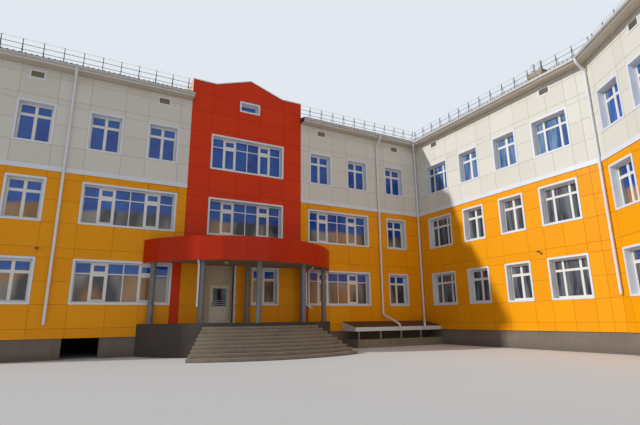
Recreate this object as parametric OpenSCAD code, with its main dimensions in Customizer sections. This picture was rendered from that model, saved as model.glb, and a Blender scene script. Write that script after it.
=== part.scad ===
// School building: a three-storey clad block with an entrance tower, a wing along the court and a
// bent end block. X runs along the entrance front, Y goes into the building and Z is up.
// The origin is on the entrance axis, in the middle of the front wall's foot at ground level.

/* [Storeys] */
// Height from one floor to the next
storey_h = 3900; // [3500:50:4100]
// Top of the ground floor above the ground
floor_level = 1560; // [1300:20:1700]
// Thickness of a floor slab
slab_t = 220; // [160:10:300]
// Underside of the eaves above the ground
soffit_z = 14360; // [14300:20:15000]

/* [Plan] */
// Entrance axis to the left end wall
main_left = 13150; // [12600:50:14000]
// Entrance axis to the court wall of the wing
wing_at = 13300; // [12900:50:13600]
// Depth of each of the three blocks
block_depth = 11000; // [9000:100:11200]
// Length of the wing's court wall
wing_len = 13465; // [13000:50:14000]
// Length of the bent block's court wall
bend_len = 7530; // [7300:50:8500]
// Turn of the bent block towards the court
bend_angle = 30; // [20:1:35]

/* [Walls] */
// Thickness of the masonry walls
wall_t = 510; // [450:10:640]
// Thickness of the facade panels with their rails
clad_t = 60; // [40:5:90]
// Lower edge of the facade panels
clad_base = 960; // [800:20:1200]
// Half the width of the entrance tower
tower_half = 3557; // [3300:10:3700]
// Inner edge of the red strips beside the entrance
strip_from = 3600; // [3560:10:3700]
// Width of the red strips beside the entrance
strip_w = 580; // [400:10:700]
// Lower edge of the belt course
belt_z = 8960; // [8860:10:9060]
// Height of the belt course
belt_h = 245; // [150:5:300]
// How far the belt course stands out
belt_out = 40; // [20:5:60]

/* [Windows] */
// Outer height of a window casing
window_h = 2190; // [1800:10:2300]
// Floor to the lower edge of the casing
sill_h = 950; // [800:10:1050]
// Outer width of a narrow window casing
narrow_w = 1700; // [1400:10:1800]
// Outer width of the wide window casing on the front
wide_w = 4650; // [4300:10:4700]
// Outer width of the wide window casing on the wing
wing_wide_w = 2222; // [2000:10:2300]
// Face width of the white casing
casing_w = 90; // [60:5:120]
// How far the casing stands out from the panels
casing_out = 20; // [10:2:30]
// Thickness of the reveal lining
lining_t = 12; // [8:1:20]
// Panel face to the window frame
reveal_d = 300; // [200:10:350]
// Face width of the fixed window frame
frame_w = 60; // [45:5:80]
// Depth of the window frame
frame_d = 70; // [60:5:90]
// Thickness of the glazing
glass_t = 24; // [16:2:36]
// First pair of front windows from the axis
front_x1 = 5030; // [4900:10:5100]
// Second pair of front windows from the axis
front_x2 = 7930; // [7800:10:8100]
// Third pair of front windows from the axis
front_x3 = 11115; // [11000:10:11500]
// Wide front windows from the axis
wide_x = 6400; // [6300:10:6500]
// Ground floor window of the entrance bay
porch_window_x = 1250; // [1100:10:1600]
// First wing window from the corner
wing_s1 = 2210; // [2000:10:2300]
// Second wing window from the corner
wing_s2 = 5230; // [5000:10:5400]
// Third wing window from the corner
wing_s3 = 8100; // [7900:10:8300]
// Fourth wing window from the corner
wing_s4 = 11085; // [10900:10:11300]
// First window of the bent block from the bend
bend_s1 = 1430; // [1300:10:1600]
// Spacing of windows on the bent block
bend_step = 2350; // [2200:10:2500]
// Spacing of windows on the outer walls
rear_step = 3300; // [3000:50:3600]
// First attic vent of the front from the axis
vent_x1 = 5110; // [5000:10:5300]
// Second attic vent of the front from the axis
vent_x2 = 11280; // [11100:10:11400]
// Soffit to the lower edge of the attic vents
vent_drop = 680; // [640:10:900]
// Width of the attic vents
vent_w = 740; // [600:10:900]
// Height of the attic vents
vent_h = 500; // [400:10:600]
// Width of the tower's attic window
attic_w = 1320; // [1100:10:1600]
// Height of the tower's attic window
attic_h = 720; // [600:10:900]
// Lower edge of the tower's attic window
attic_z = 14300; // [14000:10:14600]

/* [Roof] */
// Overhang of the eaves beyond the masonry
eaves_out = 600; // [450:10:1000]
// Overhang of the roof beyond the end walls
verge_out = 160; // [100:10:250]
// Roof pitch in degrees
roof_pitch = 12; // [8:1:18]
// Thickness of the roof covering with its rafters
roof_t = 90; // [60:5:140]
// Height of the eaves board
eaves_h = 220; // [160:10:280]
// Thickness of the eaves board and soffit
board_t = 24; // [18:2:40]
// Width and depth of the gutter
gutter_w = 130; // [100:5:160]
// Wall of the gutter
gutter_wall = 6; // [4:1:10]
// Diameter of the downpipes
pipe_d = 110; // [90:5:130]
// Left downpipe of the front from the axis
pipe_left_x = 9600; // [9450:10:9800]
// Right downpipe of the front from the axis
pipe_right_x = 9600; // [9500:10:9800]
// Height of the roof railing
railing_h = 1200; // [700:50:1300]
// Spacing of the railing posts
railing_step = 900; // [800:5:1200]
// Thickness of the railing posts and rails
railing_d = 30; // [24:2:48]
// Edge of the roof to the railing
railing_in = 1250; // [700:10:1400]
// Last post to the tower or to a corner
railing_end = 150; // [80:10:300]
// Tower shoulder above the ground
shoulder_z = 15810; // [15600:10:16200]
// Tower peak above the ground
peak_z = 16560; // [16300:10:17000]
// Half the width of the tower's raised middle
peak_half = 2175; // [1900:5:2500]
// Depth of the tower parapet's side returns
return_d = 1100; // [800:20:1600]
// Thickness of the side returns
return_t = 250; // [200:10:300]

// Centre of the flue stack from the wing's court wall
flue_in = 3000; // [2400:50:4000]
// Centre of the flue stack from the front wall towards the bend
flue_s = 8895; // [8300:5:9400]
// Width of the flue stack
flue_w = 520; // [400:10:700]
// Height of the stack over the roof
stack_h = 1570; // [1100:10:1800]
// Height of a flue over the stack
flue_h = 610; // [400:10:900]
// Diameter of a flue
flue_d = 250; // [200:10:300]

/* [Porch] */
// Radius of the canopy and of the platform
canopy_r = 6110; // [5900:10:6400]
// Centre of the canopy arc behind the middle of the front wall
canopy_y = 2190; // [2000:10:2500]
// Underside of the canopy slab
canopy_z = 4740; // [4720:10:4800]
// Thickness of the canopy slab
canopy_t = 200; // [150:10:260]
// Lower edge of the red canopy band
fascia_z = 4620; // [4560:10:4700]
// Height of the red canopy band
fascia_h = 1220; // [1000:10:1300]
// Thickness of the red canopy band
fascia_t = 60; // [40:5:90]
// Diameter of the porch columns
column_d = 290; // [240:10:340]
// Radius of the line of columns
column_r = 6010; // [5800:10:6100]
// Centre of the line of columns behind the middle of the front wall
column_y = 2628; // [2500:2:2800]
// Angle between neighbouring columns
column_step = 27.2; // [26:0.2:28]
// Turn of the row of columns to the right
column_turn = -2.8; // [-4:0.2:0]
// Inner columns in front of the panels
inner_column_y = 450; // [350:10:600]
// Distance of the right inner column from the axis
inner_column_x = 3430; // [3000:10:3600]
// Diameter of the dome lamp under the canopy
porch_lamp_d = 280; // [220:10:360]
// Diameter of the canopy's downpipes
canopy_pipe_d = 80; // [60:5:100]
// Number of risers
risers = 10; // [9:1:11]
// Depth of a tread
tread_d = 290; // [270:5:320]
// Half the angle that the steps take
steps_angle = 29; // [25:0.5:31]

/* [Entrance door] */
// Left side of the entrance recess
recess_left = -2480; // [-2600:10:-2300]
// Right side of the entrance recess
recess_right = -590; // [-700:10:-500]
// Panel face to the infill round the door
recess_d = 430; // [380:10:440]
// Thickness of the infill round the door
infill_t = 120; // [90:5:140]
// Middle of the door
door_x = -1300; // [-1360:5:-1260]
// Width of the door leaf
door_w = 1000; // [900:10:1040]
// Height of the door leaf
door_h = 1990; // [1900:10:2100]
// Thickness of the door leaf
door_t = 60; // [50:2:70]
// Edge of the door leaf to its glazing
glazing_in = 90; // [70:5:130]
// Foot of the door leaf to its glazing
glazing_z = 880; // [800:10:1000]
// Face width of the door frame
door_frame_w = 60; // [40:5:80]
// Depth of the door frame
door_frame_d = 80; // [70:2:100]
// Clearance round the door leaf
door_gap = 6; // [5:1:10]
// Diameter of the hinge pins
pin_d = 14; // [10:1:18]
// Clearance of a hinge pin in its knuckle
pin_gap = 0.3; // [0.2:0.1:0.5]
// Wall of a hinge knuckle
knuckle_wall = 5; // [4:1:8]
// Height of a hinge knuckle
knuckle_h = 60; // [40:5:90]

/* [Areaway] */
// Porch platform to the left end of the lean-to
lean_gap = 860; // [500:2:1100]
// How far the lean-to stands out from the panels
lean_out = 1550; // [1300:10:1700]
// Top of the lean-to at the wall
lean_wall_z = 1546; // [1450:2:1600]
// Top of the lean-to at its front
lean_front_z = 1240; // [1150:10:1300]
// Height of the lean-to's front board
lean_board_h = 280; // [200:10:320]
// Thickness of the lean-to roof
lean_t = 40; // [25:5:60]
// Spacing of the lean-to posts
lean_step = 1600; // [1400:20:1800]
// Width of a lean-to post
lean_post_w = 90; // [70:5:120]
// Height of the areaway kerb
kerb_h = 480; // [300:10:600]
// Thickness of the areaway kerb
kerb_t = 200; // [150:10:250]
// Left side of the basement opening
basement_x = -8800; // [-9000:10:-8600]
// Width of the basement opening
basement_w = 1590; // [1200:10:1800]

/* [Wall lamps] */
// Centre of the lamps above the ground
wall_lamp_z = 5080; // [4900:10:5200]
// Lamp on the front, to the left of the axis
front_lamp_x = 10260; // [10100:10:10400]
// Lamp on the wing from the front wall
wing_lamp_s = 9640; // [9500:10:9800]
// Width of a lamp head
lamp_w = 160; // [120:10:200]
// Depth of a lamp head
lamp_d = 120; // [90:10:150]
// Height of a lamp head
lamp_h = 90; // [70:5:120]
// Length of a lamp bracket
bracket_l = 90; // [60:5:120]

/* [Hidden] */

storeys = [0, 1, 2];
cut = 50;
weld = 2;
fit_gap = 0.3;
door_bar_h = 14;
arc_facets = 720;
arc_turn = 0.8;
pipe_gap = 20;
board_gap = 0.6;
elbow_scale = 1.08;
kerb_in = 100;
kerb_out = 70;
post_in = 210;
neck_h = 200;
elbow_drop = 560;
pipe_left_z = 1600;
pipe_foot = 250;
spout_turn_z = 1950;
right_spout_shift = 140;
corner_spout_in = 1500;
bend_pipe_in = 130;
bend_pipe_z = 2650;
bend_pipe_shift = 200;
big = 60000;
front_y = -wall_t / 2;
panel_y = front_y - clad_t;
rear_y = front_y + block_depth;
outer_x = wing_at + block_depth;
mitre = tan(bend_angle / 2);
bend_at = [wing_at, front_y - wing_len];
along = [-sin(bend_angle), -cos(bend_angle)];
inward = [cos(bend_angle), -sin(bend_angle)];
bend_end = bend_at + bend_len * along;
bend_outer_at = bend_at + block_depth * [1, -mitre];
bend_outer_end = bend_end + block_depth * inward;
bend_outer_len = bend_len + block_depth * mitre;
wing_outer_len = rear_y - bend_outer_at[1];
rear_len = main_left + outer_x;
tread_h = floor_level / risers;
eave_z = soffit_z + eaves_h;
porch_reach = sqrt(pow(canopy_r, 2) - pow(canopy_y - front_y, 2));
lean_left = porch_reach + lean_gap;
ridge_run = block_depth / 2 + eaves_out;
wall_top = eave_z + eaves_out * tan(roof_pitch);
ridge_z = eave_z + ridge_run * tan(roof_pitch);
recess_top = canopy_z;
hinge_x = door_x + door_w / 2 + door_gap / 2;
knuckle_r = pin_d / 2 + pin_gap + knuckle_wall;
leaf_y = panel_y + recess_d + (infill_t - door_frame_d) / 2;
hinge_y = leaf_y - knuckle_r - 1;
hinge_zs = [floor_level + 250, floor_level + door_h / 2, floor_level + door_h - 250];
leaf_z = floor_level + door_gap + door_bar_h;

// Floor level of a storey
function level(i) = floor_level + i * storey_h;

// Building outline moved out by out on the long sides and by ends on the two end walls
function outline(out, ends = 0) = [
    [-main_left - ends, front_y - out],
    [wing_at - out, front_y - out],
    bend_at - out * [1, -mitre],
    bend_end - out * inward + ends * along,
    bend_outer_end + out * inward + ends * along,
    bend_outer_at + out * [1, -mitre],
    [outer_x + out, rear_y + out],
    [-main_left - ends, rear_y + out]
];

// Strip of the plan between two offsets of the outline
module outline_strip(near, far, near_end = 0, far_end = 0) {
    difference() {
        polygon(outline(far, far_end));
        polygon(outline(near, near_end));
    }
}

// Each wall has its own frame: x along the wall, y from its outer face inwards
module front_frame() { translate([0, front_y, 0]) children(); }
module wing_frame() { translate([wing_at, front_y, 0]) rotate(-90) children(); }
module bend_frame() { translate([bend_at[0], bend_at[1], 0]) rotate(-90 - bend_angle) children(); }
module rear_frame() { translate([outer_x, rear_y, 0]) rotate(180) children(); }
module wing_outer_frame() {
    translate([bend_outer_at[0], bend_outer_at[1], 0]) rotate(90) children();
}
module bend_outer_frame() {
    translate([bend_outer_end[0], bend_outer_end[1], 0]) rotate(90 - bend_angle) children();
}
module bend_end_frame() { translate([bend_end[0], bend_end[1], 0]) rotate(-bend_angle) children(); }

// Windows of a wall as [middle, outer width], one list for each storey
wide_row = [[-front_x3, narrow_w], [-wide_x, wide_w], [wide_x, wide_w], [front_x3, narrow_w]];
narrow_row = [for (s = [-1, 1], x = [front_x1, front_x2, front_x3]) [s * x, narrow_w]];
front_rows = [wide_row, wide_row, narrow_row];
tower_rows = [[[porch_window_x, narrow_w]], [[0, wide_w]], [[0, wide_w]]];
wing_row = [[wing_s1, wing_wide_w], [wing_s2, narrow_w], [wing_s3, narrow_w], [wing_s4, wing_wide_w]];
bend_row = [for (i = [0:2]) [bend_s1 + i * bend_step, narrow_w]];

// Evenly spaced windows of an outer wall
row_margin = 1000;
function even_count(len) = floor((len - row_margin) / rear_step);
function even_row(len) = [
    let (n = even_count(len))
    for (i = [0:n - 1]) [len / 2 + (i - (n - 1) / 2) * rear_step, narrow_w]
];
rear_row = even_row(rear_len);
wing_outer_row = even_row(wing_outer_len);
bend_outer_row = even_row(bend_outer_len);

// Place between two windows of an even row, j steps from its middle
function pier(len, j) = len / 2 + (j + (even_count(len) % 2) / 2) * rear_step;

wing_rows = [wing_row, wing_row, wing_row];
bend_rows = [bend_row, bend_row, bend_row];
rear_rows = [rear_row, rear_row, rear_row];
wing_outer_rows = [wing_outer_row, wing_outer_row, wing_outer_row];
bend_outer_rows = [bend_outer_row, bend_outer_row, bend_outer_row];

// Runs its children once at the lower left corner of each window casing of a wall
module each_window(rows) {
    for (i = storeys, w = rows[i])
        translate([w[0] - w[1] / 2, 0, level(i) + sill_h]) {
            $casing_len = w[1];
            children();
        }
}

module window_holes(rows) {
    each_window(rows)
        translate([casing_w, -clad_t - cut, casing_w])
            cube([$casing_len - 2 * casing_w, wall_t + clad_t + 2 * cut, window_h - 2 * casing_w]);
}

// Does the same thing on every wall that has windows
module on_all_walls() {
    front_frame() { $rows = front_rows; children(); }
    front_frame() { $rows = tower_rows; children(); }
    wing_frame() { $rows = wing_rows; children(); }
    bend_frame() { $rows = bend_rows; children(); }
    rear_frame() { $rows = rear_rows; children(); }
    wing_outer_frame() { $rows = wing_outer_rows; children(); }
    bend_outer_frame() { $rows = bend_outer_rows; children(); }
}

// Wall of masonry from the ground to the roof over a plan in its own frame
module masonry(plan, rows) {
    difference() {
        linear_extrude(wall_top - fit_gap) polygon(plan);
        window_holes(rows);
    }
}

function strip_plan(x0, x1, skew0 = 0, skew1 = 0) = [
    [x0, 0], [x1, 0], [x1 + skew1, wall_t], [x0 + skew0, wall_t]
];

// Front wall on both sides of the tower, with the basement opening low on the left
module front_wall() {
    color("gray") front_frame() {
        difference() {
            masonry(strip_plan(-main_left, -tower_half), front_rows);
            translate([basement_x, -cut, -cut])
                cube([basement_w, wall_t + 2 * cut, clad_base + cut]);
        }
        masonry(strip_plan(tower_half, wing_at), front_rows);
    }
}

// Tower over the entrance, with its gabled parapet and the parapet's side returns
module tower_wall() {
    color("gray") front_frame() {
        difference() {
            translate([0, wall_t, 0]) rotate([90, 0, 0]) linear_extrude(wall_t)
                polygon(tower_profile(recess_top));
            window_holes(tower_rows);
            attic_hole();
        }
        for (x = [-tower_half, tower_half - return_t])
            translate([x, 0, 0]) rotate([90, 0, 90]) linear_extrude(return_t)
                polygon([
                    [wall_t, roof_top(wall_t) + fit_gap], [return_d, roof_top(return_d) + fit_gap],
                    [return_d, shoulder_z], [wall_t, shoulder_z]
                ]);
    }
}

// Top of the roof covering at a distance inwards from a wall's outer face
function roof_top(y) = eave_z + (eaves_out + y) * tan(roof_pitch) + roof_t;

function tower_profile(foot) = [
    [-tower_half, foot], [tower_half, foot], [tower_half, shoulder_z],
    [peak_half, shoulder_z], [0, peak_z], [-peak_half, shoulder_z], [-tower_half, shoulder_z]
];

module attic_hole() {
    translate([-attic_w / 2 + casing_w, -clad_t - cut, attic_z + casing_w])
        cube([attic_w - 2 * casing_w, wall_t + clad_t + 2 * cut, attic_h - 2 * casing_w]);
}

// Tower walls on both sides of the entrance recess
module entrance_walls() {
    color("gray") front_frame() {
        translate([-tower_half, 0, 0]) cube([tower_half + recess_left, wall_t, recess_top]);
        difference() {
            translate([recess_right, 0, 0])
                cube([tower_half - recess_right, wall_t, recess_top]);
            window_holes(tower_rows);
        }
    }
}

// Wall under the doorway, its top level with the floor
module entrance_threshold() {
    color("gray") front_frame() translate([recess_left, 0, 0])
        cube([recess_right - recess_left, wall_t, floor_level]);
}

module rear_wall() {
    color("gray") rear_frame() masonry(strip_plan(0, rear_len), rear_rows);
}

// End wall with its gable, without windows
module gable(from, to) {
    middle = block_depth / 2;
    translate([0, wall_t, 0]) rotate([90, 0, 0]) linear_extrude(wall_t)
        polygon([
            [from, 0], [to, 0], [to, gable_z(to)], [middle, gable_z(middle)], [from, gable_z(from)]
        ]);
}

// Underside of the roof over a place across a block
function gable_z(x) =
    eave_z - fit_gap + (eaves_out + block_depth / 2 - abs(x - block_depth / 2)) * tan(roof_pitch);

module end_walls() {
    color("gray") {
        translate([-main_left, rear_y, 0]) rotate(-90) gable(wall_t, block_depth - wall_t);
        bend_end_frame() gable(wall_t, block_depth - wall_t);
    }
}

module wing_court_wall() {
    color("gray") wing_frame()
        masonry(strip_plan(-wall_t, wing_len - fit_gap, 0, wall_t * mitre), wing_rows);
}

module bend_court_wall() {
    color("gray") bend_frame()
        masonry(strip_plan(0, bend_len, -wall_t * mitre, 0), bend_rows);
}

module wing_outer_wall() {
    color("gray") wing_outer_frame()
        masonry(strip_plan(fit_gap, wing_outer_len - wall_t, wall_t * mitre, 0), wing_outer_rows);
}

module bend_outer_wall() {
    color("gray") bend_outer_frame()
        masonry(strip_plan(0, bend_outer_len, 0, -wall_t * mitre), bend_outer_rows);
}

// One slab for each storey and one over the top storey
module slabs(plan) {
    for (i = [0:3]) translate([0, 0, level(i) - slab_t]) linear_extrude(slab_t) polygon(plan);
}

floor_in = wall_t + fit_gap;

module main_floors() {
    color("lightgray") slabs([
        [-main_left + floor_in, front_y + floor_in], [outer_x - floor_in, front_y + floor_in],
        [outer_x - floor_in, rear_y - floor_in], [-main_left + floor_in, rear_y - floor_in]
    ]);
}

module wing_floors() {
    color("lightgray") slabs([
        [wing_at + floor_in, front_y + wall_t], bend_at + floor_in * [1, -mitre],
        bend_at + (block_depth - floor_in) * [1, -mitre], [outer_x - floor_in, front_y + wall_t]
    ]);
}

module bend_floors() {
    color("lightgray") slabs([
        bend_at + floor_in * [1, -mitre] + fit_gap * along,
        bend_end + floor_in * inward - floor_in * along,
        bend_end + (block_depth - floor_in) * inward - floor_in * along,
        bend_at + (block_depth - floor_in) * [1, -mitre] + fit_gap * along
    ]);
}

// One roof slope: a plan, a point of its eaves line and the way that it rises
module slope(plan, eave, rise) {
    n = len(plan);
    low = [for (p = plan) [p[0], p[1], eave_z + tan(roof_pitch) * (p - eave) * rise]];
    high = [for (p = low) p + [0, 0, roof_t]];
    polyhedron(concat(low, high), concat(
        [[for (i = [0:n - 1]) i]],
        [[for (i = [n - 1:-1:0]) i + n]],
        [for (i = [0:n - 1]) let (j = (i + 1) % n) [i, i + n, j + n, j]]
    ));
}

eave_line = outline(eaves_out, verge_out);
ridge_corner = [wing_at + block_depth / 2, front_y + block_depth / 2];
ridge_left = [-main_left - verge_out, front_y + block_depth / 2];
ridge_bend = bend_at + block_depth / 2 * [1, -mitre];
ridge_end = bend_end + block_depth / 2 * inward + verge_out * along;

module main_roof() {
    color("saddlebrown") difference() {
        union() {
            slope([eave_line[0], eave_line[1], ridge_corner, ridge_left], eave_line[0], [0, 1]);
            slope([ridge_left, ridge_corner, eave_line[6], eave_line[7]], eave_line[7], [0, -1]);
        }
        translate([-tower_half, front_y - eaves_out - cut, 0])
            cube([2 * tower_half, eaves_out + wall_t + cut, big]);
    }
}

module wing_roof() {
    color("saddlebrown") {
        slope([eave_line[1], eave_line[2], ridge_bend, ridge_corner], eave_line[1], [1, 0]);
        slope([ridge_corner, ridge_bend, eave_line[5], eave_line[6]], eave_line[6], [-1, 0]);
    }
}

module bend_roof() {
    color("saddlebrown") {
        slope([eave_line[2], eave_line[3], ridge_end, ridge_bend], eave_line[2], inward);
        slope([ridge_bend, ridge_end, eave_line[4], eave_line[5]], eave_line[5], -inward);
    }
}

// Room that the porch takes out of the panels
module porch_cut() {
    translate([-porch_reach - fit_gap, panel_y - cut, 0])
        cube([2 * (porch_reach + fit_gap), clad_t + cut, floor_level + fit_gap]);
    translate([recess_left, panel_y - cut, 0])
        cube([recess_right - recess_left, clad_t + cut, recess_top]);
}

module panels(z0, z1) {
    difference() {
        translate([0, 0, z0]) linear_extrude(z1 - z0)
            outline_strip(fit_gap, clad_t, fit_gap, clad_t);
        on_all_walls() window_holes($rows);
        porch_cut();
    }
}

// Part of the front that the tower's red panels take, with the joint over the porch's yellow panels
module tower_zone() {
    translate([-strip_from, panel_y - cut, canopy_z - fit_gap])
        cube([2 * strip_from, clad_t + 2 * cut, fit_gap]);
    translate([-tower_half, panel_y - cut, canopy_z])
        cube([2 * tower_half, clad_t + 2 * cut, big]);
    for (x = [-strip_from - strip_w, strip_from])
        translate([x, panel_y - cut, floor_level])
            cube([strip_w, clad_t + 2 * cut, canopy_z - floor_level]);
}

module yellow_cladding() {
    color("orange") difference() {
        panels(clad_base, belt_z);
        tower_zone();
    }
}

module cream_cladding() {
    color("cornsilk") difference() {
        panels(belt_z, soffit_z);
        tower_zone();
        on_vent_walls() for (x = $at) vent_hole(x);
    }
}

module tower_cladding() {
    color("orangered") {
        difference() {
            for (x = [-strip_from - strip_w, strip_from])
                translate([x, panel_y, floor_level + fit_gap])
                    cube([strip_w, clad_t - fit_gap, canopy_z - floor_level - fit_gap]);
            front_frame() window_holes(front_rows);
        }
        front_frame() difference() {
            translate([0, -fit_gap, 0]) rotate([90, 0, 0]) linear_extrude(clad_t - fit_gap)
                polygon(tower_profile(canopy_z));
            window_holes(tower_rows);
            attic_hole();
        }
    }
}

// White band between the second and the third storey
module belt_course() {
    color("white") difference() {
        translate([0, 0, belt_z]) linear_extrude(belt_h)
            outline_strip(clad_t + fit_gap, clad_t + belt_out, clad_t + fit_gap, clad_t + belt_out);
        translate([-tower_half, panel_y - belt_out - cut, belt_z - cut])
            cube([2 * tower_half, belt_out + 2 * cut, belt_h + 2 * cut]);
    }
}

// Casing round a window with the lining of its reveal
module surround(len, height) {
    difference() {
        union() {
            translate([0, -clad_t - casing_out, 0]) cube([len, casing_out - fit_gap, height]);
            translate([casing_w + fit_gap, -clad_t - casing_out, casing_w + fit_gap])
                cube([
                    len - 2 * (casing_w + fit_gap), reveal_d + casing_out - fit_gap,
                    height - 2 * (casing_w + fit_gap)
                ]);
        }
        translate([casing_w + lining_t, -clad_t - casing_out - cut, casing_w + lining_t])
            cube([
                len - 2 * (casing_w + lining_t), reveal_d + casing_out + 2 * cut,
                height - 2 * (casing_w + lining_t)
            ]);
    }
}

module window_surrounds() {
    color("white") {
        on_all_walls() each_window($rows) surround($casing_len, window_h);
        front_frame() translate([-attic_w / 2, 0, attic_z]) surround(attic_w, attic_h);
    }
}

// Fixed frame at the back of the reveal
module sash_frame(len, height) {
    difference() {
        translate([casing_w, reveal_d - clad_t, casing_w])
            cube([len - 2 * casing_w, frame_d, height - 2 * casing_w]);
        translate([casing_w + frame_w, reveal_d - clad_t - cut, casing_w + frame_w])
            cube([len - 2 * (casing_w + frame_w), frame_d + 2 * cut, height - 2 * (casing_w + frame_w)]);
    }
}

module window_frames() {
    color("whitesmoke") {
        on_all_walls() each_window($rows) sash_frame($casing_len, window_h);
        front_frame() translate([-attic_w / 2, 0, attic_z]) sash_frame(attic_w, attic_h);
    }
}

module pane(len, height) {
    translate([casing_w + frame_w, reveal_d - clad_t + (frame_d - glass_t) / 2, casing_w + frame_w])
        cube([len - 2 * (casing_w + frame_w), glass_t, height - 2 * (casing_w + frame_w)]);
}

module window_glass() {
    color("lightskyblue") {
        on_all_walls() each_window($rows) pane($casing_len, window_h);
        front_frame() translate([-attic_w / 2, 0, attic_z]) pane(attic_w, attic_h);
    }
}

// Strip along the eaves, interrupted by the tower and by an open joint at each corner
module eaves_strip(near, far, height, near_end = verge_out + cut, far_end = verge_out) {
    linear_extrude(height) difference() {
        outline_strip(near, far, near_end, far_end);
        translate([-tower_half, front_y - eaves_out - gutter_w - cut])
            square([2 * tower_half, eaves_out + gutter_w + cut]);
        for (i = [1, 2, 5, 6]) corner_joint(outline(near - cut)[i], outline(far + cut)[i]);
    }
}

module corner_joint(from, to) {
    v = to - from;
    translate(from) rotate(atan2(v[1], v[0])) translate([0, -board_gap / 2])
        square([norm(v), board_gap]);
}

// Soffit and upright board of the eaves with an open joint between them
module eaves_soffit() {
    color("white") translate([0, 0, soffit_z]) {
        eaves_strip(clad_t, eaves_out - board_t - board_gap, board_t);
        eaves_strip(eaves_out - board_t, eaves_out, eaves_h);
    }
}

module gutters() {
    color("white") translate([0, 0, eave_z - gutter_w]) difference() {
        eaves_strip(eaves_out + fit_gap, eaves_out + gutter_w, gutter_w);
        translate([0, 0, gutter_wall]) eaves_strip(
            eaves_out + gutter_wall, eaves_out + gutter_w - gutter_wall, gutter_w,
            far_end = verge_out - gutter_wall
        );
    }
}

// Round bar between two points
module bar(a, b, d) {
    v = b - a;
    length = norm(v);
    turn = atan2(v[1], v[0]);
    tilt = acos(v[2] / length);
    translate(a) rotate([0, tilt, turn]) cylinder(h = length, d = d, $fn = 24);
}

// Pipe through a list of points, rounded at its bends
module pipe(points, d) {
    for (i = [0:len(points) - 2]) bar(points[i], points[i + 1], d);
    for (i = [1:len(points) - 2]) translate(points[i]) sphere(d = elbow_scale * d, $fn = 24);
}

at_gutter = eaves_out + gutter_w / 2;
at_wall = clad_t + belt_out + pipe_gap + pipe_d / 2;
drop_z = eave_z - gutter_w;
neck_z = drop_z - neck_h;
elbow_z = drop_z - elbow_drop;
spout_y = panel_y - lean_out - pipe_gap - pipe_d / 2;
spout_zs = [lean_front_z + pipe_d, lean_front_z - lean_board_h / 2];

// Downpipe in a wall's frame: out of the gutter, back to the wall and down to a height
module downpipe(x, bottom, shift = 0) {
    pipe([
        [x + shift, -at_gutter, drop_z], [x + shift, -at_gutter, neck_z],
        [x, -at_wall, elbow_z], [x, -at_wall, bottom]
    ], pipe_d);
}

// Downpipe that crosses the lean-to roof and ends in a spout at its front board
module spout_pipe(outlet, down, spout_x) {
    pipe([
        [outlet[0], outlet[1], drop_z], [outlet[0], outlet[1], neck_z],
        [down[0], down[1], elbow_z], [down[0], down[1], spout_turn_z],
        [spout_x, spout_y, spout_zs[0]], [spout_x, spout_y, spout_zs[1]]
    ], pipe_d);
}

module downpipes() {
    color("white") {
        front_frame() downpipe(-pipe_left_x, pipe_left_z);
        spout_pipe(
            [pipe_right_x, front_y - at_gutter], [pipe_right_x, front_y - at_wall],
            pipe_right_x + right_spout_shift
        );
        spout_pipe(
            [wing_at - at_gutter, front_y - at_gutter], [wing_at - at_wall, front_y - at_wall],
            wing_at - corner_spout_in
        );
        bend_frame() downpipe(bend_pipe_in, bend_pipe_z, bend_pipe_shift);
        rear_frame() for (j = [-5, 0, 4]) downpipe(pier(rear_len, j), pipe_foot);
        wing_outer_frame() downpipe(pier(wing_outer_len, 0), pipe_foot);
        canopy_pipes();
    }
}

railing_out = eaves_out - railing_in;
railing_foot = eave_z + (railing_in + weld) * tan(roof_pitch) + roof_t + fit_gap;
railing_inset = max(0, -railing_out);

// Posts along one stretch of the eaves
module railing_posts(x0, x1) {
    n = floor((x1 - x0) / railing_step);
    step = (x1 - x0) / n;
    for (i = [0:n])
        translate([x0 + i * step - railing_d / 2, -railing_out - railing_d + weld, railing_foot])
            cube([railing_d, railing_d, railing_h]);
}

// One rail round the roof, interrupted by the tower
module rail() {
    difference() {
        eaves_strip(railing_out - railing_d, railing_out, railing_d);
        translate([-tower_half, front_y - cut, -cut])
            cube([2 * tower_half, railing_in, railing_d + 2 * cut]);
    }
}

// Posts on the roof with three rails behind their upper half
module roof_railing() {
    color("dimgray") {
        front_frame() {
            railing_posts(-main_left, -tower_half - railing_end);
            railing_posts(tower_half + railing_end, wing_at - railing_out - railing_end);
        }
        wing_frame() railing_posts(
            railing_out + railing_end, wing_len - railing_out * mitre - railing_end
        );
        bend_frame() railing_posts(railing_out * mitre + railing_end, bend_len);
        rear_frame() railing_posts(railing_inset + railing_end, rear_len);
        wing_outer_frame() railing_posts(
            railing_inset * mitre + railing_end, wing_outer_len - railing_inset - railing_end
        );
        bend_outer_frame()
            railing_posts(0, bend_outer_len - railing_inset * mitre - railing_end);
        for (k = [2:4])
            translate([0, 0, railing_foot + k * railing_h / 4 - railing_d]) rail();
    }
}

// Round body in front of the wall, from the canopy's centre
module porch_disc(radius, y_limit, height, turn = 0) {
    intersection() {
        translate([0, canopy_y, 0]) rotate(turn)
            cylinder(h = height, r = radius, $fn = arc_facets);
        translate([-big / 2, y_limit - big, -cut]) cube([big, big, height + 2 * cut]);
    }
}

module porch_platform() {
    color("darkgray") porch_disc(canopy_r, front_y, floor_level, arc_turn);
}

// Wedge with its point at the canopy's centre
module porch_wedge(angle) {
    reach = 3 * canopy_r;
    translate([0, canopy_y, -cut]) linear_extrude(floor_level + 2 * cut)
        polygon([[0, 0], [-reach * sin(angle), -reach * cos(angle)],
            [reach * sin(angle), -reach * cos(angle)]]);
}

step_joint = 0.4;

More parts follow.
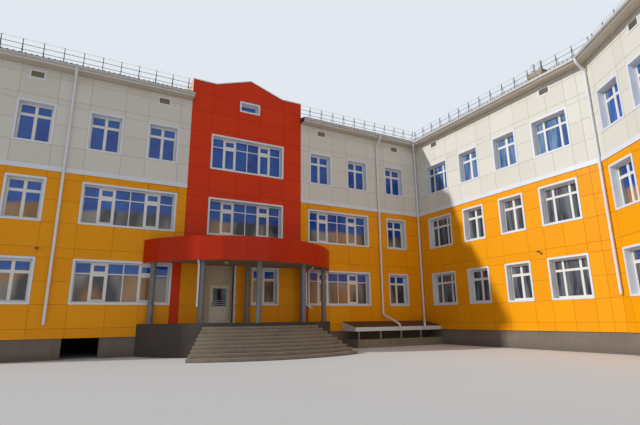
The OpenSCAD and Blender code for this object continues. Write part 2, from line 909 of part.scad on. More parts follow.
module porch_steps() {
    color("darkgray") for (i = [1:risers - 1])
        intersection() {
            translate([0, canopy_y, 0]) difference() {
                cylinder(h = (risers - i) * tread_h, r = canopy_r + i * tread_d, $fn = arc_facets);
                translate([0, 0, -cut])
                    cylinder(h = floor_level, r = canopy_r + (i - 1) * tread_d + step_joint, $fn = arc_facets);
            }
            porch_wedge(steps_angle);
        }
}

// Columns of the porch, five on an arc and two beside the entrance
module porch_columns() {
    color("slategray") {
        for (i = [-2:2]) let (turn = column_turn + i * column_step)
            translate([column_r * sin(turn), column_y - column_r * cos(turn), 0]) column();
        for (x = [0, inner_column_x]) translate([x, panel_y - inner_column_y, 0]) column();
    }
}

module column() {
    translate([0, 0, floor_level + fit_gap])
        cylinder(h = canopy_z - floor_level - 2 * fit_gap, d = column_d, $fn = 32);
}

module canopy_slab() {
    color("gray") translate([0, 0, canopy_z])
        porch_disc(canopy_r - fascia_t, panel_y, canopy_t);
}

module canopy_fascia() {
    color("orangered") translate([0, 0, fascia_z]) difference() {
        porch_disc(canopy_r, panel_y - casing_out - fit_gap, fascia_h);
        translate([0, canopy_y, -cut]) cylinder(h = fascia_h + 2 * cut, r = canopy_r - fascia_t, $fn = arc_facets);
    }
}

canopy_pipe_drop = 60;
canopy_pipe_bend = 300;
left_pipe_at = [-3210, -2640];
left_pipe_out = left_pipe_at - [100, 167];
left_pipe_z = 2360;
right_pipe_at = [3700, -800];
right_pipe_out = right_pipe_at + [100, -700];
right_pipe_z = 2560;
right_spout_at = right_pipe_at + [300, -200];
right_spout_drop = 260;

// Pipes that drain the canopy, each from an outlet at its edge back to a column
module canopy_pipes() {
    canopy_pipe(left_pipe_out, left_pipe_at, [concat(left_pipe_at, left_pipe_z)]);
    canopy_pipe(right_pipe_out, right_pipe_at, [
        concat(right_pipe_at, right_pipe_z), concat(right_spout_at, right_pipe_z - right_spout_drop)
    ]);
}

module canopy_pipe(outlet, down, rest) {
    pipe(concat([
        [outlet[0], outlet[1], canopy_z], [outlet[0], outlet[1], canopy_z - canopy_pipe_drop],
        [down[0], down[1], canopy_z - canopy_pipe_bend]
    ], rest), canopy_pipe_d);
}

porch_lamp_at = [-1650, -2100];

// Dome lamp under the canopy and two lamps on brackets on the walls
module lamps() {
    color("whitesmoke") {
        translate([porch_lamp_at[0], porch_lamp_at[1], canopy_z]) difference() {
            sphere(d = porch_lamp_d, $fn = 32);
            translate([-porch_lamp_d, -porch_lamp_d, 0])
                cube([2 * porch_lamp_d, 2 * porch_lamp_d, porch_lamp_d]);
        }
        front_frame() wall_lamp(-front_lamp_x);
        wing_frame() wall_lamp(wing_lamp_s);
    }
}

// Bracket with a lamp head in front of it
module wall_lamp(x) {
    translate([x, -clad_t, wall_lamp_z]) {
        translate([-lamp_w / 4, -bracket_l, -lamp_h / 3]) cube([lamp_w / 2, bracket_l, lamp_h / 2]);
        translate([-lamp_w / 2, -bracket_l - lamp_d, -lamp_h / 2]) cube([lamp_w, lamp_d, lamp_h]);
    }
}

infill_y = recess_d - clad_t;

// Rendered infill over the door and beside its frame
module door_infill() {
    color("tan") front_frame() difference() {
        translate([recess_left, infill_y, floor_level])
            cube([recess_right - recess_left, infill_t, recess_top - floor_level]);
        translate([door_x - frame_out, infill_y - cut, floor_level - cut])
            cube([2 * frame_out, infill_t + 2 * cut, frame_top - floor_level + cut]);
    }
}

frame_out = door_w / 2 + door_gap + door_frame_w;
frame_top = leaf_z + door_h + door_gap + door_frame_w;

// Two jambs with a head and a threshold bar between them, butted
module door_frame() {
    in_w = door_w + 2 * door_gap;
    height = frame_top - floor_level;
    color("whitesmoke") translate([door_x, leaf_y, floor_level]) {
        for (x = [-frame_out, in_w / 2]) translate([x, 0, 0])
            cube([door_frame_w, door_frame_d, height]);
        translate([-in_w / 2 + fit_gap, 0, height - door_frame_w])
            cube([in_w - 2 * fit_gap, door_frame_d, door_frame_w]);
        translate([-in_w / 2 + fit_gap, 0, 0])
            cube([in_w - 2 * fit_gap, door_frame_d, door_bar_h]);
    }
}

// Fixed pins with a plate on the door frame
module door_hinges() {
    color("gray") for (z = hinge_zs) {
        translate([hinge_x, hinge_y, z - knuckle_h]) cylinder(h = 2 * knuckle_h, d = pin_d, $fn = 32);
        translate([hinge_x, hinge_y, z - knuckle_h])
            cylinder(h = knuckle_h - pin_gap, r = knuckle_r, $fn = 32);
        translate([hinge_x + 2, hinge_y, z - knuckle_h])
            cube([40, leaf_y - hinge_y, knuckle_h - pin_gap]);
    }
}

// Leaf with the moving knuckles
module door_leaf() {
    left = door_x - door_w / 2;
    color("ivory") {
        difference() {
            translate([left, leaf_y, leaf_z]) cube([door_w, door_t, door_h]);
            translate([left + glazing_in, leaf_y - cut, leaf_z + glazing_z])
                cube([door_w - 2 * glazing_in, door_t + 2 * cut, door_h - glazing_z - glazing_in]);
        }
        for (z = hinge_zs) difference() {
            union() {
                translate([hinge_x, hinge_y, z]) cylinder(h = knuckle_h, r = knuckle_r, $fn = 32);
                translate([hinge_x - 42, hinge_y + knuckle_r - 6, z])
                    cube([40, leaf_y - hinge_y - knuckle_r + 6, knuckle_h]);
            }
            translate([hinge_x, hinge_y, z - cut])
                cylinder(h = knuckle_h + 2 * cut, r = pin_d / 2 + pin_gap, $fn = 32);
        }
    }
}

module door_glass() {
    pane_t = door_t / 3;
    color("lightskyblue")
        translate([door_x - door_w / 2 + glazing_in, leaf_y + pane_t, leaf_z + glazing_z])
            cube([door_w - 2 * glazing_in, pane_t, door_h - glazing_z - glazing_in]);
}

module door_handle() {
    color("silver") translate([door_x - door_w / 2 + 45, 0, leaf_z + 760]) {
        for (z = [0, 300])
            translate([0, leaf_y, z]) rotate([90, 0, 0]) cylinder(h = 50, d = 18, $fn = 24);
        translate([0, leaf_y - 50, -40]) cylinder(h = 380, d = 24, $fn = 24);
    }
}

lean_y = panel_y - lean_out;
lean_drop = (lean_wall_z - lean_front_z) / lean_out;

// Kerb along the front and the left side of the areaway
module areaway_kerb() {
    left = lean_left + kerb_in;
    color("darkgray") {
        translate([left, lean_y - kerb_out, 0]) cube([wing_at - left, kerb_t, kerb_h]);
        translate([left, lean_y - kerb_out + kerb_t, 0])
            cube([kerb_t, front_y - lean_y + kerb_out - kerb_t, kerb_h]);
    }
}

// Posts on the kerb, just behind the front board
module areaway_posts() {
    top = lean_front_z - lean_t + lean_drop * board_t - fit_gap;
    color("whitesmoke") for (i = [0:3])
        translate([lean_left + post_in + i * lean_step, lean_y + board_t, kerb_h])
            cube([lean_post_w, lean_post_w, top - kerb_h]);
}

module areaway_roof() {
    color("sienna") translate([lean_left, panel_y, 0]) rotate([90, 0, 90])
        linear_extrude(wing_at - clad_t - lean_left)
            polygon([[0, lean_wall_z - lean_t], [-lean_out, lean_front_z - lean_t],
                [-lean_out, lean_front_z], [0, lean_wall_z]]);
}

module areaway_boards() {
    low = lean_front_z - lean_board_h;
    color("white") {
        translate([lean_left, panel_y - lean_out, low])
            cube([wing_at - clad_t - lean_left, board_t, lean_board_h - lean_t - fit_gap]);
        translate([lean_left, panel_y, 0]) rotate([90, 0, 90]) linear_extrude(board_t)
            polygon([[0, low], [-lean_out + board_t, low],
                [-lean_out + board_t, lean_front_z - lean_t + lean_drop * board_t - fit_gap],
                [0, lean_wall_z - lean_t - fit_gap]]);
    }
}

vent_z = soffit_z - vent_drop;
vent_recess = 40;

// Vent in a wall's frame: casing round a recessed louvre
module vent_box(x) {
    translate([x - vent_w / 2, -clad_t - casing_out, vent_z]) difference() {
        cube([vent_w, clad_t + casing_out - fit_gap, vent_h]);
        translate([casing_w, -cut, casing_w])
            cube([vent_w - 2 * casing_w, vent_recess + cut, vent_h - 2 * casing_w]);
    }
}

// Room that a vent takes out of the panels
module vent_hole(x) {
    translate([x - vent_w / 2 - fit_gap, -clad_t - cut, vent_z - fit_gap])
        cube([vent_w + 2 * fit_gap, clad_t + cut, vent_h + 2 * fit_gap]);
}

// Runs its children once on each wall that has attic vents
module on_vent_walls() {
    front_frame() { $at = [-vent_x2, -vent_x1, vent_x1, vent_x2]; children(); }
    wing_frame() { $at = [wing_s1, wing_s4]; children(); }
    bend_frame() { $at = [bend_s1 + bend_step]; children(); }
}

module attic_vents() {
    color("white") on_vent_walls() for (x = $at) vent_box(x);
}

flue_at = [wing_at + flue_in, front_y - flue_s];
stack_top = roof_top(flue_in + flue_w / 2) + stack_h;
cap_d = flue_d + 110;
cap_h = 130;

// Stack on the wing roof with two capped flues
module flue_stack() {
    near = flue_in - flue_w / 2;
    far = flue_in + flue_w / 2;
    color("lightgray") {
        translate([wing_at, flue_at[1] + flue_w, 0]) rotate([90, 0, 0]) linear_extrude(2 * flue_w)
            polygon([
                [near, roof_top(near) + fit_gap], [far, roof_top(far) + fit_gap],
                [far, stack_top], [near, stack_top]
            ]);
        for (s = [-1, 1]) translate([flue_at[0], flue_at[1] + s * flue_w / 2, stack_top]) {
            cylinder(h = flue_h, d = flue_d, $fn = 24);
            translate([0, 0, flue_h]) cylinder(h = cap_h, d = cap_d, $fn = 24);
        }
    }
}

front_wall();
tower_wall();
entrance_walls();
entrance_threshold();
rear_wall();
end_walls();
wing_court_wall();
wing_outer_wall();
bend_court_wall();
bend_outer_wall();
main_floors();
wing_floors();
bend_floors();
main_roof();
wing_roof();
bend_roof();
yellow_cladding();
cream_cladding();
tower_cladding();
belt_course();
window_surrounds();
window_frames();
window_glass();
eaves_soffit();
gutters();
downpipes();
roof_railing();
porch_platform();
porch_steps();
porch_columns();
canopy_slab();
canopy_fascia();
lamps();
door_infill();
door_frame();
door_hinges();
door_leaf();
door_glass();
door_handle();
areaway_kerb();
areaway_posts();
areaway_roof();
areaway_boards();
attic_vents();
flue_stack();
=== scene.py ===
# School building: three storeys of clad masonry with an entrance tower, a curved porch, a wing along
# the court and a bent end block. Metres, X along the entrance front, Y into the building, Z up.

import math
import random

import bmesh
import bpy
from mathutils import Matrix, Vector


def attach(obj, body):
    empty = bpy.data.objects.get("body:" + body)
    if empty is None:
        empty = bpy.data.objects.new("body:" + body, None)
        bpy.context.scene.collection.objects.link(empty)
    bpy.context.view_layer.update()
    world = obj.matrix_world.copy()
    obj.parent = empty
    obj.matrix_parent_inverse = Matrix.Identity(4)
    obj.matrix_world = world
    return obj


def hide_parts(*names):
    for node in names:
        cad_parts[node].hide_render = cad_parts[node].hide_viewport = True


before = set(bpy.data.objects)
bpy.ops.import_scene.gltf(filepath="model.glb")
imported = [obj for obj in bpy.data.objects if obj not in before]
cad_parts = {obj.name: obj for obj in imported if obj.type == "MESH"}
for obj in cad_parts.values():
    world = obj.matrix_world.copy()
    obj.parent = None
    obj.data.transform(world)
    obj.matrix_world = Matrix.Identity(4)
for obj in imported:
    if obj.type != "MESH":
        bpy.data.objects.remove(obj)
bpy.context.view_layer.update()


# View: from the court, left of the entrance axis, at eye height, turned right and tilted up a little.
# The lens is a usual wide one.
eye = Vector((-8.614, -25.169, 1.685))
turned_right, tilted_up, leaning = math.radians(29.27), math.radians(13.78), math.radians(-0.69)
bpy.ops.object.camera_add()
camera = bpy.context.active_object
camera.matrix_world = (
    Matrix.Translation(eye)
    @ Matrix.Rotation(-turned_right, 4, "Z")
    @ Matrix.Rotation(math.pi / 2 + tilted_up, 4, "X")
    @ Matrix.Rotation(leaning, 4, "Z")
)
camera.data.sensor_width = 36
camera.data.lens = 25.17
camera.data.shift_x, camera.data.shift_y = -0.0076, -0.0044
camera.data.clip_start, camera.data.clip_end = 0.1, 2000
bpy.context.scene.camera = camera
bpy.context.scene.view_settings.view_transform = "Standard"


# Ground and light: a plain pale floor, an even pale sky, a lamp that stands low behind the left end of the
# building and lights the court side of the wing, and a weak warm one that fills the shade of the front.
class Shade:
    """One socket among a finish's nodes, so that the pattern of a finish is written as a sum."""

    def __init__(self, tree, socket):
        self.tree, self.socket = tree, socket

    def node(self, kind, sockets, out=0, **settings):
        """Another node of the same finish: its settings, then the values or links of its sockets."""
        made = self.tree.nodes.new(kind)
        for name, value in settings.items():
            setattr(made, name, value)
        for name, value in sockets.items():
            if isinstance(value, Shade):
                self.tree.links.new(made.inputs[name], value.socket)
            else:
                made.inputs[name].default_value = value
        return Shade(self.tree, made.outputs[out])

    def maths(self, operation, first, second):
        return self.node("ShaderNodeMath", {0: first, 1: second}, operation=operation)

    def __add__(self, other):
        return self.maths("ADD", self, other)

    def __sub__(self, other):
        return self.maths("SUBTRACT", self, other)

    def __mul__(self, other):
        return self.maths("MULTIPLY", self, other)

    def __truediv__(self, other):
        return self.maths("DIVIDE", self, other)

    def __radd__(self, other):
        return self.maths("ADD", other, self)

    def __rsub__(self, other):
        return self.maths("SUBTRACT", other, self)

    def __rmul__(self, other):
        return self.maths("MULTIPLY", other, self)

    def __rtruediv__(self, other):
        return self.maths("DIVIDE", other, self)


def colour(red, green, blue):
    """A colour as a screen shows it, 0 to 255, in the linear values of a finish."""
    parts = [c / 255 for c in (red, green, blue)]
    return tuple(c / 12.92 if c < 0.04 else ((c + 0.055) / 1.055) ** 2.4 for c in parts) + (1.0,)


def finish(name, **constants):
    """A new finish with its constants set on the shader, and the place on the piece as a shade."""
    made = bpy.data.materials.new(name)
    made.use_nodes = True
    shader = made.node_tree.nodes["Principled BSDF"]
    for socket, value in constants.items():
        shader.inputs[socket.replace("_", " ")].default_value = value
    coordinates = made.node_tree.nodes.new("ShaderNodeTexCoord")
    return made, Shade(made.node_tree, coordinates.outputs["Object"])


def lay(made, socket, shade):
    """Lays a shade on one socket of a finish."""
    shader = made.node_tree.nodes["Principled BSDF"]
    made.node_tree.links.new(shader.inputs[socket], shade.socket)


def mottle(place, size, detail=4.0, rough=0.55):
    """Soft uneven patches about as wide as size, from 0 to 1."""
    return place.node(
        "ShaderNodeTexNoise",
        {"Vector": place, "Scale": 1.0 / size, "Detail": detail, "Roughness": rough},
    )


def blend(share, first, second):
    """A colour that goes from the first to the second with the share."""
    return share.node("ShaderNodeMix", {0: share, 6: first, 7: second}, out=2, data_type="RGBA")


bpy.ops.object.select_all(action="DESELECT")
bpy.ops.mesh.primitive_plane_add(size=900, location=(0, 0, 0))
floor = bpy.context.active_object
floor.name = "floor"
floor_paint, at = finish("pale_floor", Roughness=0.9, Specular_IOR_Level=0.1)
wide_patches = mottle(at, 20.0, 3.0, 0.5)
lay(floor_paint, "Base Color", blend(wide_patches, colour(214, 214, 212), colour(221, 221, 219)))
floor.data.materials.append(floor_paint)

world = bpy.data.worlds.new("pale_sky")
bpy.context.scene.world = world
world.use_nodes = True
sky_tree = world.node_tree
sky_tree.nodes.clear()
path = sky_tree.nodes.new("ShaderNodeLightPath")
seen = Shade(sky_tree, path.outputs["Is Camera Ray"])
mirrored = Shade(sky_tree, path.outputs["Is Glossy Ray"])
through = Shade(sky_tree, path.outputs["Is Transmission Ray"])
shown = seen.maths("MAXIMUM", seen.maths("MAXIMUM", seen, mirrored), through)
fill = shown.node("ShaderNodeBackground", {"Color": colour(232, 238, 250), "Strength": 0.4})
backdrop = shown.node("ShaderNodeBackground", {"Color": colour(226, 232, 240), "Strength": 1.0})
sky_mix = shown.node("ShaderNodeMixShader", {0: shown, 1: fill, 2: backdrop})
sky_out = sky_tree.nodes.new("ShaderNodeOutputWorld")
sky_tree.links.new(sky_out.inputs["Surface"], sky_mix.socket)


def sun_lamp(way, energy, spread, tint):
    """A lamp like the sun that shines along way, as wide as spread in degrees."""
    bpy.ops.object.light_add(type="SUN")
    sun = bpy.context.active_object
    sun.rotation_mode = "QUATERNION"
    sun.rotation_quaternion = Vector(way).to_track_quat("-Z", "Y")
    sun.data.energy, sun.data.angle, sun.data.color = energy, math.radians(spread), tint


sun_lamp((4, -1, -2), 2.6, 1.6, (1.0, 0.99, 0.96))
sun_lamp((0.3, 1, -0.2), 0.3, 60, (1.0, 0.95, 0.85))


# Masonry: aerated block walls, 510 thick, rendered with brown grey cement mortar where they stay bare at
# the plinth, in the recess of the entrance and inside.
def relief(made, height, distance, strength=1.0):
    """Raises the surface of a finish by a shade from 0 to 1."""
    lay(made, "Normal", height.node(
        "ShaderNodeBump", {"Height": height, "Distance": distance, "Strength": strength}))


def between(shade, low, high):
    """A shade stretched so that it runs from 0 at low to 1 at high."""
    return shade.node("ShaderNodeMapRange", {"Value": shade, "From Min": low, "From Max": high})


def stretched(place, along_x, along_y, along_z):
    """The place with each direction squeezed, so that a pattern on it grows long the other way."""
    squeeze = (along_x, along_y, along_z)
    return place.node("ShaderNodeVectorMath", {0: place, 1: squeeze}, operation="MULTIPLY")


def level_of(place, axis="Z"):
    """One coordinate of the place."""
    split = place.node("ShaderNodeSeparateXYZ", {"Vector": place})
    return Shade(place.tree, split.socket.node.outputs[axis])


def dress(made, *nodes):
    """Gives carried over nodes their finish."""
    for node in nodes:
        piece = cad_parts[node]
        piece.data.materials.clear()
        piece.data.materials.append(made)


render, at = finish("cement_render", Roughness=0.92)
patches = mottle(at, 1.6)
grit = mottle(at, 0.03, 2.0, 0.7)
streaks = between(mottle(stretched(at, 1, 1, 0.12), 0.35), 0.5, 0.78)
foot = 1 - between(level_of(at), 0.0, 0.45)
bare = blend(patches, colour(96, 85, 76), colour(132, 120, 108))
bare = blend(streaks * 0.45, bare, colour(84, 74, 66))
bare = blend(foot * 0.5, bare, colour(74, 66, 58))
lay(render, "Base Color", blend(grit * 0.25, bare, colour(150, 140, 128)))
relief(render, grit * 0.6 + patches * 0.4, 0.01)
dress(
    render, "front_wall", "tower_wall", "entrance_walls", "entrance_threshold", "rear_wall", "end_walls",
    "wing_court_wall", "wing_outer_wall", "bend_court_wall", "bend_outer_wall",
)


# Floors: cast concrete slabs of 220, grey, with the board marks of their shuttering below.
slab_grey, at = finish("cast_concrete", Roughness=0.85)
clouds = mottle(at, 1.1)
boards = between(mottle(stretched(at, 0.15, 6.0, 1.0), 1.0, 1.0), 0.3, 0.7)
lay(slab_grey, "Base Color", blend(clouds * 0.7 + boards * 0.3, colour(122, 120, 116), colour(156, 153, 147)))
relief(slab_grey, boards * 0.5 + clouds * 0.5, 0.004)
dress(slab_grey, "main_floors", "wing_floors", "bend_floors")


# Roof: profiled steel sheet, brown, laid from the eaves to the ridge on every slope, with a folded cap
# on the ridges and the outer hips. The deck below it keeps its dark edge over the gutter.
left_x, wing_x, outer_x = -13.15, 13.3, 24.3
court_y, rear_y = -0.255, 10.745
walls = {
    "front": (0.0, court_y, 0.0),
    "wing": (wing_x, court_y, -90.0),
    "bend": (wing_x, -13.72, -120.0),
    "rear": (outer_x, rear_y, 180.0),
    "wing_outer": (outer_x, -16.667, 90.0),
    "bend_outer": (19.061, -25.741, 60.0),
    "bend_end": (9.535, -20.241, -30.0),
    "left_end": (left_x, rear_y, -90.0),
}
wing_len, wing_outer_len, rear_len = 13.465, 27.412, 37.45
bend_len, bend_outer_len = 7.53, 10.477
bend_slant = math.tan(math.radians(15))
pitch = math.tan(math.radians(12))
eaves_out, half_depth = 0.6, 5.5
eave_z, roof_t, verge, wall_t = 14.58, 0.09, 0.16, 0.51


def deselect():
    """Leaves nothing selected, so that the next tool works on the new piece alone."""
    bpy.ops.object.select_all(action="DESELECT")


def only(piece):
    """Selects one piece alone."""
    deselect()
    piece.select_set(True)
    bpy.context.view_layer.objects.active = piece


def everything():
    """Selects all of the piece that is open."""
    bpy.ops.mesh.select_all(action="SELECT")


def editing(piece):
    """Opens one piece for editing with all of it selected."""
    only(piece)
    bpy.ops.object.mode_set(mode="EDIT")
    bpy.ops.mesh.select_mode(type="VERT")
    everything()


def done():
    """Closes the piece that is open."""
    bpy.ops.object.mode_set(mode="OBJECT")


def normals_out():
    """Turns all faces of the open piece outwards."""
    everything()
    bpy.ops.mesh.normals_make_consistent(inside=False)


def look_along(piece, way):
    """Turns an open sheet over if its faces look against way."""
    mesh = bmesh.from_edit_mesh(piece.data)
    mesh.normal_update()
    if sum(face.normal.dot(Vector(way)) for face in mesh.faces) < 0:
        bpy.ops.mesh.flip_normals()


def first_point(x, y, z):
    """Starts a piece as a single point, open for editing."""
    deselect()
    bpy.ops.mesh.primitive_plane_add(size=1, location=(0, 0, 0))
    piece = bpy.context.active_object
    editing(piece)
    bpy.ops.mesh.merge(type="CENTER")
    bpy.ops.transform.translate(value=(x, y, z))
    return piece


def draw(*moves):
    """Draws on from the selected point or line by each move."""
    for move in moves:
        bpy.ops.mesh.extrude_region_move(TRANSFORM_OT_translate={"value": move})


def cut_line(at_point, across, drop_outside=False):
    """Cuts the open piece along a plane, all of it or with the side that across points to left out."""
    everything()
    bpy.ops.mesh.bisect(plane_co=at_point, plane_no=across, clear_outer=drop_outside, threshold=0.00001)


def settle(piece, x=0.0, y=0.0, z=0.0, turn=0.0):
    """Puts a piece in its place, in its own mesh."""
    only(piece)
    piece.matrix_world = Matrix.Translation((x, y, z)) @ Matrix.Rotation(math.radians(turn), 4, "Z")
    bpy.ops.object.transform_apply(location=True, rotation=True, scale=True)
    return piece


def on_wall(piece, wall):
    """Puts a piece that was made in a wall's own frame on that wall."""
    x, y, turn = walls[wall]
    return settle(piece, x, y, 0.0, turn)


def one_piece(pieces, name):
    """Joins pieces into one and names it."""
    deselect()
    for piece in pieces:
        piece.select_set(True)
    bpy.context.view_layer.objects.active = pieces[0]
    if len(pieces) > 1:
        bpy.ops.object.join()
    whole = bpy.context.active_object
    whole.name = name
    whole.data.name = name
    return whole


def give(piece, tool, **settings):
    """Adds a modifier to a piece and applies it."""
    only(piece)
    made = piece.modifiers.new(tool.lower(), tool)
    for name, value in settings.items():
        setattr(made, name, value)
    bpy.ops.object.modifier_apply(modifier=made.name)


def hand_over(piece, made, body="building", instead_of=()):
    """Gives a finished piece its finish and the body that it rides on."""
    if made:
        piece.data.materials.append(made)
    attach(piece, body)
    if instead_of:
        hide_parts(*instead_of)


sheet_brown, at = finish("roof_sheet_paint", Roughness=0.45)
faded = mottle(at, 2.5)
grime = between(mottle(at, 0.5, 6.0), 0.45, 0.75)
brown = blend(faded, colour(96, 62, 44), colour(112, 74, 54))
lay(sheet_brown, "Base Color", blend(grime * 0.35, brown, colour(78, 62, 52)))
lay(sheet_brown, "Roughness", faded * 0.2 + 0.38)
dress(sheet_brown, "main_roof", "wing_roof", "bend_roof")


def join_in_row(piece, count):
    """Sets copies of a folded line end to end and joins them."""
    give(piece, "ARRAY", count=count, relative_offset_displace=(1, 0, 0),
         use_merge_vertices=True, merge_threshold=0.001)


def roof_slope(wall, start, end, start_slant, end_slant, first_run=0.0):
    """One slope of ribbed sheet in its wall's frame, cut along its hips or valleys."""
    rib, flank, rise, step, clearance = 0.06, 0.02, 0.035, 0.25, 0.002
    full_run = half_depth + eaves_out
    left = min(start, start + start_slant * full_run)
    right = max(end, end + end_slant * full_run)
    count = math.ceil((right - left) / step)
    low = eave_z + roof_t + clearance
    strip = first_point(left, -eaves_out + first_run, low + first_run * pitch)
    draw((step - rib - 2 * flank, 0, 0), (flank, 0, rise), (rib, 0, 0), (flank, 0, -rise))
    done()
    join_in_row(strip, count)
    editing(strip)
    run = full_run - first_run
    draw((0, run, run * pitch))
    cut_line((start, -eaves_out, 0), (-1, start_slant, 0), drop_outside=True)
    cut_line((end, -eaves_out, 0), (1, -end_slant, 0), drop_outside=True)
    normals_out()
    look_along(strip, (0, 0, 1))
    done()
    return on_wall(strip, wall)


tower_half = 3.557
sheets = [
    roof_slope("front", left_x - verge, -tower_half, 0, 0),
    roof_slope("front", tower_half, wing_x - eaves_out, 0, 1),
    roof_slope("front", -tower_half, tower_half, 0, 0, first_run=eaves_out + wall_t),
    roof_slope("rear", -eaves_out, rear_len + verge, 1, 0),
    roof_slope("wing", eaves_out, wing_len - eaves_out * bend_slant, -1, bend_slant),
    roof_slope("wing_outer", -eaves_out * bend_slant, wing_outer_len + eaves_out, bend_slant, -1),
    roof_slope("bend", eaves_out * bend_slant, bend_len + verge, -bend_slant, 0),
    roof_slope("bend_outer", -verge, bend_outer_len + eaves_out * bend_slant, 0, -bend_slant),
]
roofing = one_piece(sheets, "ribbed_roofing")
hand_over(roofing, sheet_brown)


def folded(start, folds, way, thickness):
    """Sheet metal folded along a line from start, drawn out one way and given its thickness."""
    sheet = first_point(*start)
    draw(*folds)
    everything()
    draw(way)
    done()
    give(sheet, "SOLIDIFY", thickness=thickness, offset=0)
    return sheet


def ridge_cap(start, end):
    """A folded cap over a ridge or hip, from one point to the other."""
    half_width, rise, edge_drop = 0.16, Vector((0, 0, 0.045)), Vector((0, 0, 0.022))
    way = Vector(end) - Vector(start)
    side = Vector((-way.y, way.x, 0)).normalized() * half_width
    return folded(Vector(start) + side - edge_drop, [rise - side, -side - rise], way, 0.004)


ridge_z = eave_z + (half_depth + eaves_out) * pitch + roof_t + 0.05
eaves_cap_z = eave_z + roof_t + 0.06
ridge_x, ridge_y = (wing_x + outer_x) / 2, (court_y + rear_y) / 2
ridge_corner, ridge_bend = (ridge_x, ridge_y, ridge_z), (ridge_x, -15.194, ridge_z)
hip_x, hip_y, bend_hip_y = outer_x + eaves_out, rear_y + eaves_out, -16.667 - eaves_out * bend_slant
caps = one_piece([
    ridge_cap((left_x - verge, ridge_y, ridge_z), ridge_corner),
    ridge_cap(ridge_corner, ridge_bend),
    ridge_cap(ridge_bend, (14.218, -23.13, ridge_z)),
    ridge_cap((hip_x, hip_y, eaves_cap_z), ridge_corner),
    ridge_cap((hip_x, bend_hip_y, eaves_cap_z), ridge_bend),
], "ridge_caps")
hand_over(caps, sheet_brown)


# Facade: painted panels of 1.1 to 1.6 m on rails, yellow on two storeys and cream above the belt, with an
# open joint round each. They are cut to run along the edges of the window casings.
storeys = (1.56, 5.46, 9.36)
narrow, wide, wing_wide = 1.7, 4.65, 2.222
sill, window_h, casing = 0.95, 2.19, 0.09
front_low = [(-11.115, narrow), (-6.4, wide), (6.4, wide), (11.115, narrow)]
front_top = [(side * x, narrow) for side in (-1, 1) for x in (5.03, 7.93, 11.115)]
wing_row = [(2.21, wing_wide), (5.23, narrow), (8.1, narrow), (11.085, wing_wide)]
bend_row = [(1.43, narrow), (3.78, narrow), (6.13, narrow)]


def even_row(length):
    """Windows at an even spacing on an outer wall."""
    bay, left_at_ends = 3.3, 1.0
    count = math.floor((length - left_at_ends) / bay)
    return [(length / 2 + (i - (count - 1) / 2) * bay, narrow) for i in range(count)]


rows = {
    "front": [front_low, front_low, front_top],
    "tower": [[(1.25, narrow)], [(0, wide)], [(0, wide)]],
    "wing": [wing_row] * 3,
    "bend": [bend_row] * 3,
    "rear": [even_row(rear_len)] * 3,
    "wing_outer": [even_row(wing_outer_len)] * 3,
    "bend_outer": [even_row(bend_outer_len)] * 3,
    "bend_end": [[]] * 3,
    "left_end": [[]] * 3,
}
walls["tower"] = walls["front"]
low_joints = (1.41, 2.51, 3.57, 4.7, 5.18, 6.41, 7.5, 8.6)
top_joints = (10.31, 11.43, 12.5, 12.82, 13.95)
joint, joint_depth, clad_t, behind = 0.006, 0.012, 0.06, 0.001
outwards = (0, -1, 0)


def casing_joints(row):
    """Upright joints at both edges of each casing in a row, and in the middle of the wing's wide ones."""
    joints = []
    for x, width in row:
        parts = (-0.5, 0, 0.5) if width == wing_wide else (-0.5, 0.5)
        joints += [x + width * part for part in parts]
    return joints


def upright_sheet(width, height, y):
    """A flat sheet upright in a wall's frame, its foot on the ground, open for editing."""
    deselect()
    bpy.ops.mesh.primitive_plane_add(size=1, location=(0, 0, 0))
    sheet = bpy.context.active_object
    editing(sheet)
    bpy.ops.transform.resize(value=(width, height, 1), center_override=(0, 0, 0))
    bpy.ops.transform.rotate(value=-math.pi / 2, orient_axis="X", center_override=(0, 0, 0))
    bpy.ops.transform.translate(value=(0, y, height / 2))
    return sheet


def pick(piece, faces=None, edges=None, points=None):
    """Selects the faces, edges or points of an open piece by their middle (and a face's normal)."""
    mesh = bmesh.from_edit_mesh(piece.data)
    bpy.ops.mesh.select_all(action="DESELECT")
    if faces:
        bpy.ops.mesh.select_mode(type="FACE")
        for face in mesh.faces:
            face.select_set(bool(faces(face.calc_center_median(), face.normal)))
    if edges:
        bpy.ops.mesh.select_mode(type="EDGE")
        for edge in mesh.edges:
            a, b = edge.verts
            edge.select_set(bool(edges((a.co + b.co) / 2, b.co - a.co)))
    if points:
        bpy.ops.mesh.select_mode(type="VERT")
        for point in mesh.verts:
            point.select_set(bool(points(point.co)))
    mesh.select_flush_mode()
    bmesh.update_edit_mesh(piece.data)


def panel_sheet(wall, x0, x1, z0, z1, uprights, levels):
    """Panels of one stretch of wall: a board cut at its joints and opened at the windows."""
    board = upright_sheet(x1 - x0, z1 - z0, joint_depth - clad_t)
    bpy.ops.transform.translate(value=((x0 + x1) / 2, 0, z0))
    least_w, least_h = 0.08, 0.05
    for x in sorted(set(uprights)):
        if x0 + least_w < x < x1 - least_w:
            cut_line((x, 0, 0), (1, 0, 0))
    for z in levels:
        if z0 + least_h < z < z1 - least_h:
            cut_line((0, 0, z), (0, 0, 1))

    def in_window(middle, normal):
        for floor_z, row in zip(storeys, rows[wall]):
            for x, width in row:
                if abs(middle.x - x) < width / 2 and 0 < middle.z - floor_z - sill < window_h:
                    return True
        return False

    pick(board, faces=in_window)
    bpy.ops.mesh.delete(type="FACE")
    return board


